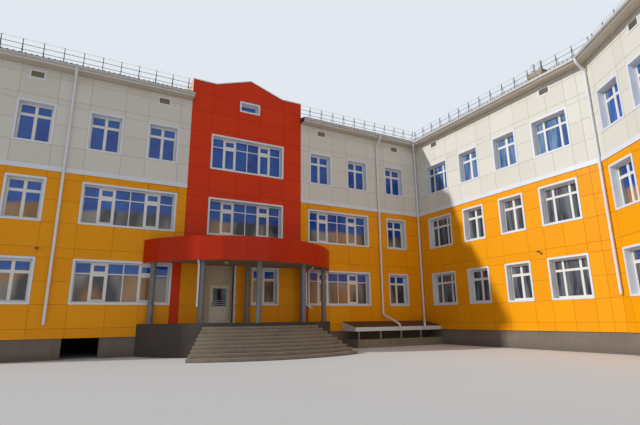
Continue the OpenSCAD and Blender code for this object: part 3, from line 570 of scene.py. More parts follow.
def groove(board, panel, gap):
    """Sets each panel of an open board forward with a groove round it, and gives the sheet its thickness."""
    board.data.materials.append(panel)
    board.data.materials.append(gap)
    bpy.ops.mesh.select_mode(type="FACE")
    normals_out()
    look_along(board, outwards)
    bpy.ops.mesh.inset(thickness=joint, depth=joint_depth, use_individual=True)
    bpy.ops.mesh.select_all(action="INVERT")
    mesh = bmesh.from_edit_mesh(board.data)
    for face in mesh.faces:
        face.material_index = 1 if face.select else 0
    bmesh.update_edit_mesh(board.data)
    done()
    give(board, "SOLIDIFY", thickness=clad_t - joint_depth - behind, offset=-1)
    return board


def panel_paint(name, dark, plain, pale, gloss):
    """Factory paint on the panels: each panel a little its own, with dusty streaks down it."""
    made, place = finish(name, Roughness=gloss, Specular_IOR_Level=0.16)
    tint = place.node("ShaderNodeAttribute", {}, out="Fac", attribute_name="panel_tint")
    own = blend(tint, dark, pale)
    cloud = mottle(place, 2.2, 5.0)
    run = between(mottle(stretched(place, 1, 1, 0.08), 0.25, 3.0), 0.52, 0.8)
    fine = mottle(place, 0.012, 2.0)
    base = blend(cloud * 0.5 + 0.25, own, plain)
    base = blend(run * 0.12, base, dark)
    lay(made, "Base Color", base)
    lay(made, "Roughness", cloud * 0.15 + run * 0.1 + (gloss - 0.1))
    relief(made, fine * 0.3 + cloud * 0.7, 0.0015, 0.6)
    return made


def joint_paint(name, shade, deep):
    """The bottom of a joint: the folded panel edge in its own shadow and dust."""
    made, place = finish(name, Roughness=0.8)
    lay(made, "Base Color", blend(mottle(place, 0.2), shade, deep))
    return made


def tint_panels(piece, seed):
    """Writes on each face how its panel's paint differs from the next one's."""
    pot = random.Random(seed)
    shades = piece.data.attributes.new("panel_tint", "FLOAT", "FACE")
    shades.data.foreach_set("value", [pot.random() for _ in piece.data.polygons])


yellow = panel_paint(
    "yellow_panel_paint", colour(234, 151, 8), colour(240, 158, 10), colour(245, 165, 14), gloss=0.42)
yellow_joint = joint_paint("yellow_joint", colour(178, 106, 8), colour(150, 88, 8))
cream = panel_paint(
    "cream_panel_paint", colour(213, 210, 199), colour(219, 216, 206), colour(225, 222, 213), gloss=0.5)
cream_joint = joint_paint("cream_joint", colour(168, 161, 146), colour(150, 144, 130))
red = panel_paint(
    "red_panel_paint", colour(210, 52, 10), colour(216, 57, 12), colour(222, 64, 16), gloss=0.4)
red_joint = joint_paint("red_joint", colour(150, 34, 8), colour(124, 26, 6))

porch_reach = 5.5995
strip_in, strip_out = 3.6, 4.075
front_uprights = [side * x for side in (-1, 1) for x in (7.08, 8.725, 10.265, 11.965)]
base_z, porch_z, canopy_z, belt_z, soffit_z = 0.96, 1.56, 4.74, 8.96, 14.36
front_start, front_end = left_x - clad_t, wing_x - clad_t
recess_left, recess_right, under_soffit = -2.48, -0.59, 0.002
end_panels, wing_end_joints, slant_fold = 7, [0.6, 12.9], 0.016
low_boards, top_boards = [], []


def low_board(wall, x0, x1, uprights, z0=base_z, z1=belt_z):
    """Cuts, grooves and hangs one sheet of yellow panels."""
    board = groove(panel_sheet(wall, x0, x1, z0, z1, uprights, low_joints), yellow, yellow_joint)
    low_boards.append(on_wall(board, wall))


def top_board(wall, x0, x1, uprights):
    """Cuts, grooves and hangs one sheet of cream panels above the belt."""
    board = panel_sheet(wall, x0, x1, belt_z, soffit_z - under_soffit, uprights, top_joints)
    top_boards.append(on_wall(groove(board, cream, cream_joint), wall))


low_board("front", front_start, -porch_reach, front_uprights)
low_board("front", -porch_reach, -strip_out, front_uprights, porch_z)
low_board("front", -strip_out, -tower_half, [], canopy_z)
low_board("tower", -strip_in, recess_left, [], porch_z, canopy_z)
low_board("tower", recess_right, strip_in, [0.4, 2.1], porch_z, canopy_z)
low_board("front", tower_half, strip_out, [], canopy_z)
low_board("front", strip_out, porch_reach, front_uprights, porch_z)
low_board("front", porch_reach, front_end, front_uprights)
stretches = {
    "wing": (clad_t, wing_len - slant_fold), "bend": (slant_fold, bend_len + clad_t),
    "rear": (-clad_t, rear_len + clad_t), "wing_outer": (-slant_fold, wing_outer_len + clad_t),
    "bend_outer": (-clad_t, bend_outer_len + slant_fold),
    "bend_end": (0.0, 2 * half_depth), "left_end": (0.0, 2 * half_depth),
}
for wall, (x0, x1) in stretches.items():
    even = [x0 + (x1 - x0) * i / end_panels for i in range(1, end_panels)]
    uprights = casing_joints(rows[wall][0]) or even
    if wall == "wing":
        uprights += wing_end_joints
    low_board(wall, x0, x1, uprights)
    top_board(wall, x0, x1, uprights)
top_board("front", front_start, -tower_half, casing_joints(front_top))
top_board("front", tower_half, front_end, casing_joints(front_top))

yellow_panels = one_piece(low_boards, "yellow_panels")
tint_panels(yellow_panels, 3)
hand_over(yellow_panels, None, instead_of=["yellow_cladding"])
cream_panels = one_piece(top_boards, "cream_panels")
tint_panels(cream_panels, 5)
hand_over(cream_panels, None, instead_of=["cream_cladding"])


# Tower: the same panels in red up to the gabled parapet, and a red strip of them on both sides of the
# porch. A folded pale cap covers the parapet, whose side returns stand over the roof.
def cuboid(size, middle):
    """A solid of straight sides about its middle, open for editing."""
    deselect()
    bpy.ops.mesh.primitive_cube_add(size=1, location=(0, 0, 0))
    solid = bpy.context.active_object
    editing(solid)
    bpy.ops.transform.resize(value=size, center_override=(0, 0, 0))
    bpy.ops.transform.translate(value=middle)
    return solid


inner_joint, outer_joint, top_joint_z, canopy_t = 0.78, 2.33, 14.97, 0.2
tower_uprights = (-outer_joint, -inner_joint, inner_joint, outer_joint)
tower_joints = (6.41, 7.46, 8.6, 8.95, 10.31, 11.43, 12.5, 12.75, 13.82, top_joint_z)
shoulder_z, peak_z, peak_half = 15.81, 16.56, 2.175
attic_w, attic_h, attic_z, ease = 1.14, 0.54, 14.39, 0.01
face = panel_sheet(
    "tower", -tower_half, tower_half, canopy_z + canopy_t, shoulder_z, tower_uprights, tower_joints)
for x in (-peak_half, 0, peak_half):
    pick(face, faces=lambda middle, normal: middle.z > top_joint_z + 0.03)
    bpy.ops.mesh.bisect(plane_co=(x, 0, 0), plane_no=(1, 0, 0))
for x in (-inner_joint, 0, inner_joint):
    pick(face, points=lambda point: point.z > shoulder_z - 0.01 and abs(point.x - x) < 0.001)
    bpy.ops.transform.translate(value=(0, 0, (peak_z - shoulder_z) * (1 - abs(x) / peak_half)))
pick(face, edges=lambda middle, way: middle.z > top_joint_z + 0.01 and abs(way.x) < 0.001
     and (abs(middle.x) < 0.001 or abs(abs(middle.x) - peak_half) < 0.001))
bpy.ops.mesh.dissolve_edges(use_verts=False)
face = groove(face, red, red_joint)
opening = cuboid((attic_w + ease, 1, attic_h + ease), (0, 0, attic_z + attic_h / 2))
done()
give(face, "BOOLEAN", object=opening, operation="DIFFERENCE", solver="EXACT")
bpy.data.objects.remove(opening)
red_boards = [on_wall(face, "tower")]
for x0, x1 in ((-strip_out, -strip_in), (strip_in, strip_out)):
    board = groove(panel_sheet("tower", x0, x1, porch_z, canopy_z, [], low_joints), red, red_joint)
    red_boards.append(on_wall(board, "tower"))
red_panels = one_piece(red_boards, "red_panels")
tint_panels(red_panels, 7)
hand_over(red_panels, None, instead_of=["tower_cladding"])

white, at = finish("white_trim_paint", Roughness=0.38)
dust = mottle(at, 0.7, 5.0)
runs = between(mottle(stretched(at, 1, 1, 0.1), 0.12, 3.0), 0.55, 0.8)
dusty_white = blend(dust, colour(214, 220, 230), colour(228, 232, 238))
lay(white, "Base Color", blend(runs * 0.2, dusty_white, colour(190, 192, 194)))
lay(white, "Roughness", dust * 0.2 + 0.28)
relief(white, dust, 0.0008, 0.5)
dress(white, "belt_course", "window_surrounds")

cap_front, cap_back, cap_over, cap_lift, cap_lip = -0.345, 0.275, 0.02, 0.012, 0.06
cap = first_point(-tower_half - cap_over, cap_front, shoulder_z + cap_lift)
rise = Vector((peak_half, 0, peak_z - shoulder_z))
shoulder = Vector((tower_half + cap_over - peak_half, 0, 0))
draw(shoulder, rise, Vector((rise.x, 0, -rise.z)), shoulder)
everything()
draw((0, cap_back - cap_front, 0))
for edge_y in (cap_front, cap_back):
    pick(cap, edges=lambda middle, way: abs(way.y) < 0.001 and abs(middle.y - edge_y) < 0.001)
    draw((0, 0, -cap_lip))
done()
give(cap, "SOLIDIFY", thickness=0.005, offset=0)
hand_over(one_piece([cap], "parapet_cap"), white)

peach, at = finish("parapet_side_paint", Roughness=0.5)
lay(peach, "Base Color", blend(mottle(at, 0.8), colour(222, 186, 150), colour(232, 204, 172)))
side_front, side_back, side_h, side_out = -0.3, 0.845, 0.9, 0.006
side_foot = eave_z + (eaves_out + side_front - court_y) * pitch + roof_t
sides = []
for x in (-tower_half, tower_half):
    side = first_point(x + math.copysign(side_out, x), side_front, side_foot)
    draw((0, side_back - side_front, (side_back - side_front) * pitch))
    everything()
    draw((0, 0, side_h))
    pick(side, points=lambda point: point.z > shoulder_z - 0.41)
    bpy.ops.transform.resize(value=(1, 1, 0), center_override=(0, 0, shoulder_z - 0.004))
    done()
    give(side, "SOLIDIFY", thickness=0.008, offset=0)
    sides.append(side)
hand_over(one_piece(sides, "parapet_sides"), peach)


# Windows: white plastic frames at the back of the reveals. A fixed frame holds lights that are glazed
# into it and casements with a deeper profile of their own; a transom runs across all of them.
frame_white, at = finish("window_profile", Roughness=0.32)
lay(frame_white, "Base Color", blend(mottle(at, 0.5), colour(224, 221, 213), colour(235, 233, 227)))
lay(frame_white, "Roughness", mottle(at, 0.1) * 0.12 + 0.28)


def plain_board(width, height, y=0.0):
    """An upright board in a wall's frame, its foot on the ground and its face outwards, open for editing."""
    board = upright_sheet(width, height, y)
    look_along(board, outwards)
    return board


def sash(width, height, columns, transom, casements, leaf):
    """One window: a rim, columns at shares of its width, a transom, and casements among its lights."""
    rim, bar, set_in, forward, thick = 0.045, 0.026, 0.254, 0.014, 0.052
    window = plain_board(width, height, set_in)
    bpy.ops.mesh.inset(thickness=rim, depth=0)

    def lights(middle, normal):
        return abs(middle.x) < width / 2 - rim and rim < middle.z < height - rim

    for share in columns:
        pick(window, faces=lights)
        bpy.ops.mesh.bisect(plane_co=((share - 0.5) * width, 0, 0), plane_no=(1, 0, 0))
    if transom:
        pick(window, faces=lights)
        bpy.ops.mesh.bisect(plane_co=(0, 0, transom * height), plane_no=(0, 0, 1))
    pick(window, faces=lights)
    bpy.ops.mesh.inset(thickness=bar, depth=0, use_individual=True)

    def middles_of(shares, whole):
        """Middles between the bars at these shares, where the first and the last one stand on the rim."""
        bars = [rim, *[share * whole for share in shares], whole - rim]
        return [(low + high) / 2 for low, high in zip(bars, bars[1:])]

    rows_of_lights = middles_of([transom] if transom else [], height)
    middles = [
        (column, x - width / 2, z)
        for column, x in enumerate(middles_of(columns, width)) for z in rows_of_lights
    ]

    def is_light(middle, among=None):
        return any(
            abs(middle.x - x) < 0.004 and abs(middle.z - z) < 0.004
            for column, x, z in middles if among is None or column in among
        )

    if casements:
        pick(window, faces=lambda middle, normal: is_light(middle, casements))
        bpy.ops.mesh.inset(thickness=leaf, depth=forward, use_individual=True)
    pick(window, faces=lambda middle, normal: is_light(middle))
    bpy.ops.mesh.delete(type="FACE")
    done()
    give(window, "SOLIDIFY", thickness=thick, offset=-1)
    return window


def set_out(pattern, places, name):
    """Copies of one piece at each place and turn, each with its own mesh, joined into one."""
    copies = []
    for x, y, z, turn in places:
        copy = pattern.copy()
        copy.data = pattern.data.copy()
        bpy.context.scene.collection.objects.link(copy)
        copies.append(settle(copy, x, y, z, turn))
    bpy.data.objects.remove(pattern)
    return one_piece(copies, name)


def spot(wall, x, z, y=0.0):
    """A place on a wall, x along it and y inwards, as one in the building."""
    wall_x, wall_y, turn = walls[wall]
    angle = math.radians(turn)
    return (
        wall_x + x * math.cos(angle) - y * math.sin(angle),
        wall_y + x * math.sin(angle) + y * math.cos(angle),
        z, turn,
    )


def windows_of(width):
    """Places of all windows that have one casing width."""
    return [
        spot(wall, x, floor_z + sill + casing)
        for wall, by_storey in rows.items()
        for floor_z, row in zip(storeys, by_storey)
        for x, found in row if found == width
    ]


sixths = [i / 6 for i in range(1, 6)]
sash_h = window_h - 2 * casing
sashes = [
    set_out(sash(width - 2 * casing, sash_h, columns, transom, casements, leaf), windows_of(width), name)
    for name, width, columns, transom, casements, leaf in (
        ("narrow", narrow, [0.5], 0.7, [0, 1], 0.045),
        ("wide", wide, sixths, 0.71, [1, 4], 0.095),
        ("wing", wing_wide, [0.27, 0.73], 0.7, [0, 1, 2], 0.034),
    )
]
attic = sash(attic_w, attic_h, [], 0, [0], 0.03)
sashes = one_piece([*sashes, set_out(attic, [spot("tower", 0, attic_z)], "attic")], "window_sashes")
hand_over(sashes, frame_white, instead_of=["window_frames"])

# Glass: the colour of the panes is painted reflection. On the court front it is blue sky above a wavy line of
# mirrored grey and pale facades with sunlit orange patches in them; on the wing it is grey streaks under a
# paler blue top storey.
glass, at = finish("pane_glass", Roughness=0.05, IOR=1.45)
height = level_of(at)
reflection_wave = mottle(stretched(at, 1, 1, 0.35), 1.6, 2.0)
sky = blend(between(mottle(at, 1.7, 3.0), 0.35, 0.68), colour(6, 60, 148), colour(34, 102, 194))
house_reflection = blend(between(reflection_wave, 0.4, 0.56), colour(58, 58, 62), colour(150, 144, 134))
lit_wall_reflection = between(mottle(stretched(at, 1, 1, 0.5), 2.1, 1.0), 0.5, 0.58)
house_reflection = blend(lit_wall_reflection * 0.6, house_reflection, colour(186, 126, 46))
over_house = between(height + reflection_wave * 0.7, 7.55, 7.75)
over_house = over_house + (1 - between(height, 5.2, 5.4)) * between(height + reflection_wave * 0.6, 4.2, 4.45)
court_glass_reflection = blend(over_house, house_reflection, sky)
reflection_streak = mottle(stretched(at, 1, 1, 0.12), 0.3, 3.0)
wing_low_reflection = blend(between(reflection_streak, 0.4, 0.62), colour(52, 56, 66), colour(112, 116, 124))
wing_top_reflection = blend(between(reflection_streak, 0.4, 0.65), colour(46, 84, 140), colour(116, 144, 178))
wing_glass_reflection = blend(between(height, 9.0, 10.0), wing_low_reflection, wing_top_reflection)
along_wing = between(level_of(at, "X"), 12.9, 13.1)
ripple = mottle(at, 0.35, 2.0)
lay(glass, "Base Color", blend(along_wing, court_glass_reflection, wing_glass_reflection))
relief(glass, ripple, 0.002, 0.25)
dress(glass, "window_glass")


# Attic vents: a white pressed casing round six brown slats, set in the cream panels under the eaves.
# Their back board closes each hole behind the slats.
def repeat(piece, count, step):
    """Repeats a piece by a step, in one mesh."""
    give(piece, "ARRAY", count=count, use_relative_offset=False, use_constant_offset=True,
         constant_offset_displace=step)


slat_brown, at = finish("vent_slat_paint", Roughness=0.6)
lay(slat_brown, "Base Color", blend(mottle(at, 0.15), colour(150, 134, 114), colour(174, 158, 136)))
vent_w, vent_h, vent_z, vent_rim, lap = 0.74, 0.5, 13.68, 0.09, 0.02
vents = [spot("front", x, vent_z) for x in (-11.28, -5.11, 5.11, 11.28)]
vents += [spot("wing", x, vent_z) for x in (2.21, 11.085)] + [spot("bend", 3.78, vent_z)]
hole = plain_board(vent_w - 2 * lap, vent_h - 2 * lap, -0.2)
bpy.ops.transform.translate(value=(0, 0, lap))
draw((0, 0.4, 0))
normals_out()
done()
holes = set_out(hole, vents, "vent_holes")
give(cream_panels, "BOOLEAN", object=holes, operation="DIFFERENCE", solver="EXACT")
bpy.data.objects.remove(holes)

rim = plain_board(vent_w, vent_h, -clad_t - 0.019)
bpy.ops.mesh.inset(thickness=vent_rim, depth=0)
bpy.ops.mesh.inset(thickness=0.004, depth=-0.035)
bpy.ops.mesh.delete(type="FACE")
done()
give(rim, "SOLIDIFY", thickness=0.018, offset=-1)
slat_t, slat_step = 0.012, 0.055
slats = plain_board(vent_w - 2 * vent_rim, slat_t, -0.05)
everything()
draw((0, 0.045, 0.03))
everything()
bpy.ops.transform.translate(value=(0, 0, vent_rim + 0.015))
normals_out()
done()
repeat(slats, 6, (0, 0, slat_step))
back = plain_board(0.6, 0.36, -0.002)
bpy.ops.transform.translate(value=(0, 0, 0.07))
bpy.ops.mesh.inset(thickness=0.02, depth=0.01)
done()
slats = one_piece([slats, back], "slats")
hand_over(set_out(rim, vents, "vent_casings"), white, instead_of=["attic_vents"])
hand_over(set_out(slats, vents, "vent_slats"), slat_brown, instead_of=["attic_vents"])


# Eaves: beige soffit boards and a white upright board, with a gutter in front of it that hangs in straps
# every 1.2 m; the gutter's white is painted pale grey as painted shade. White downpipes are held off the wall
# by clips.
eaves_white, at = finish("eaves_board_paint", Roughness=0.45)
weathered = mottle(at, 0.9, 5.0)
upright = between(level_of(at), soffit_z + 0.026, soffit_z + 0.032)
soffit_beige = blend(weathered, colour(184, 175, 158), colour(204, 195, 178))
upright_white = blend(weathered, colour(228, 230, 232), colour(240, 241, 242))
lay(eaves_white, "Base Color", blend(upright, soffit_beige, upright_white))
relief(eaves_white, weathered, 0.001, 0.6)
dress(eaves_white, "eaves_soffit")
pipe_white, at = finish("rainwater_paint", Roughness=0.35)
splash = between(mottle(stretched(at, 1, 1, 0.3), 0.3, 4.0), 0.5, 0.8)
lay(pipe_white, "Base Color", blend(splash * 0.3, colour(224, 227, 231), colour(188, 186, 182)))
lay(pipe_white, "Roughness", splash * 0.25 + 0.3)
# The gutter's pale grey is its white darkened as painted shade; its beads and straps share it.
shaded_gutter_grey, at = finish("gutter_paint", Roughness=0.4)
lay(shaded_gutter_grey, "Base Color", blend(mottle(at, 0.7, 5.0), colour(178, 178, 174), colour(196, 196, 192)))
dress(shaded_gutter_grey, "gutters")


def pipe(points, across, bend=0.12):
    """A round pipe along its middle line, with drawn bends and closed ends."""
    points = [Vector(point) for point in points]
    line = first_point(*points[0])
    draw(*[b - a for a, b in zip(points, points[1:])])
    if len(points) > 2:
        pick(line, points=lambda point: all((point - end).length > 0.01 for end in (points[0], points[-1])))
        bpy.ops.mesh.bevel(offset=bend, segments=3, affect="VERTICES")
    done()
    bpy.ops.object.convert(target="CURVE")
    line = bpy.context.active_object
    line.data.bevel_depth, line.data.bevel_resolution, line.data.use_fill_caps = across / 2, 3, True
    bpy.ops.object.convert(target="MESH")
    line = bpy.context.active_object
    editing(line)
    bpy.ops.mesh.remove_doubles(threshold=0.0005)
    normals_out()
    done()
    only(line)
    bpy.ops.object.shade_smooth_by_angle(angle=math.radians(40))
    return line


def in_front(wall, x, out, z):
    """A point in front of a wall, x along it."""
    return spot(wall, x, z, -out)[:3]


at_gutter, at_wall = eaves_out + 0.065, 0.175
outlet_z, neck_h, elbow_z = eave_z - 0.13, 0.2, eave_z - 0.69


def drop(wall, x, foot, shift=0.0):
    """Middle line of a downpipe from the gutter back to the wall and down it."""
    return [
        in_front(wall, x + shift, at_gutter, outlet_z),
        in_front(wall, x + shift, at_gutter, outlet_z - neck_h),
        in_front(wall, x, at_wall, elbow_z), in_front(wall, x, at_wall, foot),
    ]


corner_x, corner_y = wing_x - at_gutter, court_y - at_gutter
pipe_x, pipe_y = wing_x - at_wall, court_y - at_wall
corner_down = [
    (corner_x, corner_y, outlet_z), (corner_x, corner_y, outlet_z - neck_h),
    (pipe_x, pipe_y, elbow_z), (pipe_x, pipe_y, 1.95),
]
downpipes = [
    drop("front", -9.6, 1.6), drop("bend", 0.13, 2.65, 0.2),
    drop("front", 9.6, 1.95) + [(9.74, -1.94, 1.35), (9.74, -1.94, 1.1)],
    corner_down + [(11.8, -1.94, 1.35), (11.8, -1.94, 1.1)],
    drop("rear", 3.875, 0.25), drop("rear", 20.375, 0.25), drop("rear", 33.575, 0.25),
    drop("wing_outer", 13.706, 0.25),
]
canopy_pipes = [
    [(-3.31, -2.807, canopy_z), (-3.31, -2.807, 4.66), (-3.21, -2.64, 4.44), (-3.21, -2.64, 2.36)],
    [(3.8, -1.5, canopy_z), (3.8, -1.5, 4.66), (3.7, -0.8, 4.44), (3.7, -0.8, 2.56), (4.0, -1.0, 2.3)],
]
pipes = [pipe(points, 0.14) for points in downpipes]
pipes += [pipe(points, 0.1, 0.05) for points in canopy_pipes]
hand_over(one_piece(pipes, "rainwater_pipes"), pipe_white, instead_of=["downpipes"])


def along_eaves(out, z, across):
    """Round bars along all eaves at a distance in front of the walls, open at the tower and at both ends."""
    past_end, off_tower = 0.15, 0.013
    lines = [
        [in_front("front", left_x - past_end, out, z), in_front("front", -tower_half - off_tower, out, z)],
        [in_front("front", tower_half + off_tower, out, z), in_front("front", wing_x - out, out, z),
         in_front("bend", out * bend_slant, out, z), in_front("bend", bend_len + past_end, out, z)],
        [in_front("rear", rear_len, out, z), in_front("rear", -out, out, z),
         in_front("bend_outer", bend_outer_len + out * bend_slant, out, z),
         in_front("bend_outer", 0, out, z)],
    ]
    return [pipe(points, across, 0.02) for points in lines]


beads = along_eaves(eaves_out + 0.118, eave_z - 0.008, 0.028)
hand_over(one_piece(beads, "gutter_beads"), shaded_gutter_grey)

strap_w, strap_step = 0.025, 1.2
strap = folded(
    (-strap_w / 2, -eaves_out + 0.02, eave_z + 0.004),
    [(0, -0.156, 0), (0, 0, -0.14), (0, 0.13, 0)], (strap_w, 0, 0), 0.003)
runs_of_gutter = {
    "front": [(-13.0, -3.8), (3.8, 12.2)], "wing": [(1.2, 13.0)], "bend": [(0.5, 7.5)],
    "rear": [(-0.7, 37.3)], "wing_outer": [(0.0, 28.0)], "bend_outer": [(0.0, 10.4)],
}
straps = []
for wall, gutter_runs in runs_of_gutter.items():
    for start, end in gutter_runs:
        count = round((end - start) / strap_step)
        straps += [spot(wall, start + (end - start) * i / count, 0) for i in range(count + 1)]
hand_over(set_out(strap, straps, "gutter_straps"), shaded_gutter_grey)

clip_h, clip_top, clip_step = 0.045, 13.7, 2.2
deselect()
bpy.ops.mesh.primitive_cylinder_add(vertices=16, radius=0.077, depth=clip_h, location=(0, -at_wall, 0))
clip = bpy.context.active_object
editing(clip)
pick(clip, faces=lambda middle, normal: normal.y > 0.95)
bpy.ops.transform.resize(value=(1, 1, 0.5))
draw((0, 0.07, 0))
pick(clip, edges=lambda middle, way: abs(abs(middle.z) - clip_h / 2) < 0.001 and abs(way.z) < 0.001)
bpy.ops.mesh.bevel(offset=0.004, segments=1)
done()
settle(clip)
clip_places = []
for wall, x, foot in (
    ("front", -9.6, 1.9), ("front", 9.6, 2.4), ("front", pipe_x, 2.4), ("bend", 0.13, 3.1),
    ("rear", 3.875, 0.7), ("rear", 20.375, 0.7), ("rear", 33.575, 0.7), ("wing_outer", 13.706, 0.7),
):
    count = round((clip_top - foot) / clip_step)
    clip_places += [spot(wall, x, foot + (clip_top - foot) * i / count) for i in range(count + 1)]
hand_over(set_out(clip, clip_places, "pipe_clips"), pipe_white)


# Roof railing: posts of angle steel, each on a plate with a brace behind it, carry two tubes in sleeves
# and a lightning wire on their tops. All of it is bolted through the roof sheet.
rail_dark, at = finish("railing_finish", Roughness=0.5)
lay(rail_dark, "Base Color", blend(mottle(at, 0.4), colour(74, 84, 100), colour(94, 104, 120)))
rail_in, rail_h, post_in, post_step = 1.25, 1.2, 0.15, 0.9
rail_out, rail_foot = eaves_out - rail_in, eave_z + roof_t + rail_in * pitch + 0.002
tube_y, brace_run, plate_run = 0.028, 0.46, 0.58
rail_lines = [
    (rail_h * share - 0.015, sleeve, bar)
    for share, sleeve, bar in ((0.5, 0.05, 0.027), (0.75, 0.05, 0.027), (1.0, 0.03, 0.01))
]
post = folded(
    (-0.017, 0, 0.003), [(0.034, 0, 0), (0, 0.03, 0)], (0, 0, rail_h - 0.015), 0.004)
brace = folded(
    (-0.012, 0.03, rail_h - 0.08), [(0, brace_run, 0.08 - rail_h + brace_run * pitch + 0.01)],
    (0.024, 0, 0), 0.005)
plate = folded(
    (-0.03, -0.03, 0.001), [(0, plate_run, plate_run * pitch)], (0.06, 0, 0), 0.004)
sleeves = [pipe([(-0.03, tube_y, z), (0.03, tube_y, z)], sleeve) for z, sleeve, bar in rail_lines]
post = one_piece([post, brace, plate, *sleeves], "post")
runs_of_railing = {
    "front": [(left_x, -tower_half - post_in), (tower_half + post_in, wing_x - rail_out - post_in)],
    "wing": [(rail_out + post_in, wing_len - rail_out * bend_slant - post_in)],
    "bend": [(rail_out * bend_slant + post_in, bend_len)],
    "rear": [(-rail_out + post_in, rear_len)],
    "wing_outer": [(-rail_out * bend_slant + post_in, wing_outer_len + rail_out - post_in)],
    "bend_outer": [(0, bend_outer_len + rail_out * bend_slant - post_in)],
}
posts = []
for wall, railing_runs in runs_of_railing.items():
    for start, end in railing_runs:
        count = math.floor((end - start) / post_step)
        posts += [
            spot(wall, start + (end - start) * i / count, rail_foot, -rail_out - tube_y)
            for i in range(count + 1)
        ]
rails = [rail for z, sleeve, bar in rail_lines for rail in along_eaves(rail_out, rail_foot + z, bar)]
railing = one_piece([set_out(post, posts, "posts"), *rails], "railing")
hand_over(railing, rail_dark, instead_of=["roof_railing"])


# Flue stack: a rendered block on the wing's roof under a cast slab, with two flues of zinc sheet, each
# wider above where it is insulated.
def turned(profile, x=0.0, y=0.0, steps=32):
    """A round piece about an upright axis, from its outline of radius and height."""
    piece = first_point(x + profile[0][0], y, profile[0][1])
    draw(*[(b[0] - a[0], 0, b[1] - a[1]) for a, b in zip(profile, profile[1:])])
    everything()
    bpy.ops.mesh.spin(steps=steps, angle=2 * math.pi, center=(x, y, 0), axis=(0, 0, 1))
    everything()
    bpy.ops.mesh.remove_doubles(threshold=0.0004)
    normals_out()
    done()
    only(piece)
    bpy.ops.object.shade_smooth_by_angle(angle=math.radians(35))
    return piece


zinc, at = finish("flue_zinc", Roughness=0.4)
spangle = mottle(at, 0.08, 3.0)
lay(zinc, "Base Color", blend(spangle, colour(196, 200, 204), colour(222, 225, 228)))
lay(zinc, "Roughness", spangle * 0.2 + 0.35)
stack_render, at = finish("flue_block_render", Roughness=0.9)
lay(stack_render, "Base Color", blend(mottle(at, 0.3), colour(160, 148, 130), colour(186, 175, 158)))
relief(stack_render, mottle(at, 0.03, 3.0), 0.003)
block_x, block_y, block_w, block_long, block_top = 16.04, -9.67, 0.52, 1.04, 17.0
block_foot = eave_z + (eaves_out + block_x - wing_x) * pitch + roof_t + 0.002
slab_over, slab_h = 0.03, 0.059


def drawn_solid(start, outline, way):
    """A solid drawn one way from an outline that closes by itself, open for editing."""
    piece = first_point(*start)
    draw(*outline)
    everything()
    bpy.ops.mesh.edge_face_add()
    draw(way)
    normals_out()
    return piece


foot_rise = block_w * pitch
block = drawn_solid((block_x, block_y, block_foot), [
    (block_w, 0, foot_rise), (0, 0, block_top - block_foot - foot_rise), (-block_w, 0, 0),
], (0, block_long, 0))
done()
slab_w, slab_long = block_w + 2 * slab_over, block_long + 2 * slab_over
cap_slab = drawn_solid((block_x - slab_over, block_y - slab_over, block_top), [
    (slab_w, 0, 0), (0, slab_long, 0), (-slab_w, 0, 0),
], (0, 0, slab_h))
bpy.ops.mesh.bevel(offset=0.006, segments=1)
done()
hand_over(one_piece([block, cap_slab], "flue_block"), stack_render, instead_of=["flue_stack"])
flue_shape = [
    (0, 17.06), (0.085, 17.06), (0.085, 17.29), (0.125, 17.31), (0.125, 17.66), (0.14, 17.67), (0.14, 17.69),
    (0.125, 17.7), (0.125, 17.785), (0.105, 17.79), (0.105, 17.72), (0, 17.72),
]
flues = [turned(flue_shape, 16.3, y, 20) for y in (-9.41, -8.89)]
hand_over(one_piece(flues, "flues"), zinc, instead_of=["flue_stack"])


# Porch: a platform with rendered sides, darkened as painted shade, and nine cast treads round it, columns of
# painted pipe with a collar at both ends, and a canopy slab behind a red band, darkened as painted shade,
# that is folded at about every 11 degrees.
steps_grey, at = finish("porch_concrete", Roughness=0.9)
pour = mottle(at, 0.9, 6.0)
damp = between(mottle(stretched(at, 1, 1, 0.25), 0.45, 4.0), 0.48, 0.72)
grit = mottle(at, 0.02, 2.0, 0.7)
cast = blend(pour, colour(126, 115, 99), colour(154, 142, 124))
riser_h = 0.156
# Painted shade: each riser is darker towards its foot, where it meets the tread below.
tread = level_of(at) / riser_h - 0.03
riser_shade_height = tread.maths("FRACT", tread, 0.0)
cast = blend((1 - between(riser_shade_height, 0.05, 0.6)) * 0.4, cast, colour(84, 76, 66))
cast = blend(damp * 0.4, cast, colour(82, 76, 70))
lay(steps_grey, "Base Color", blend(grit * 0.2, cast, colour(160, 152, 140)))
relief(steps_grey, grit * 0.5 + pour * 0.5, 0.004)
dress(steps_grey, "porch_steps")
# The rendered sides of the platform are painted dark grey brown as painted shade.
flank, at = finish("platform_render", Roughness=0.9)
lay(flank, "Base Color", blend(mottle(at, 0.8, 6.0), colour(58, 51, 46), colour(84, 76, 69)))
relief(flank, mottle(at, 0.02, 3.0), 0.003)
dress(flank, "porch_platform")

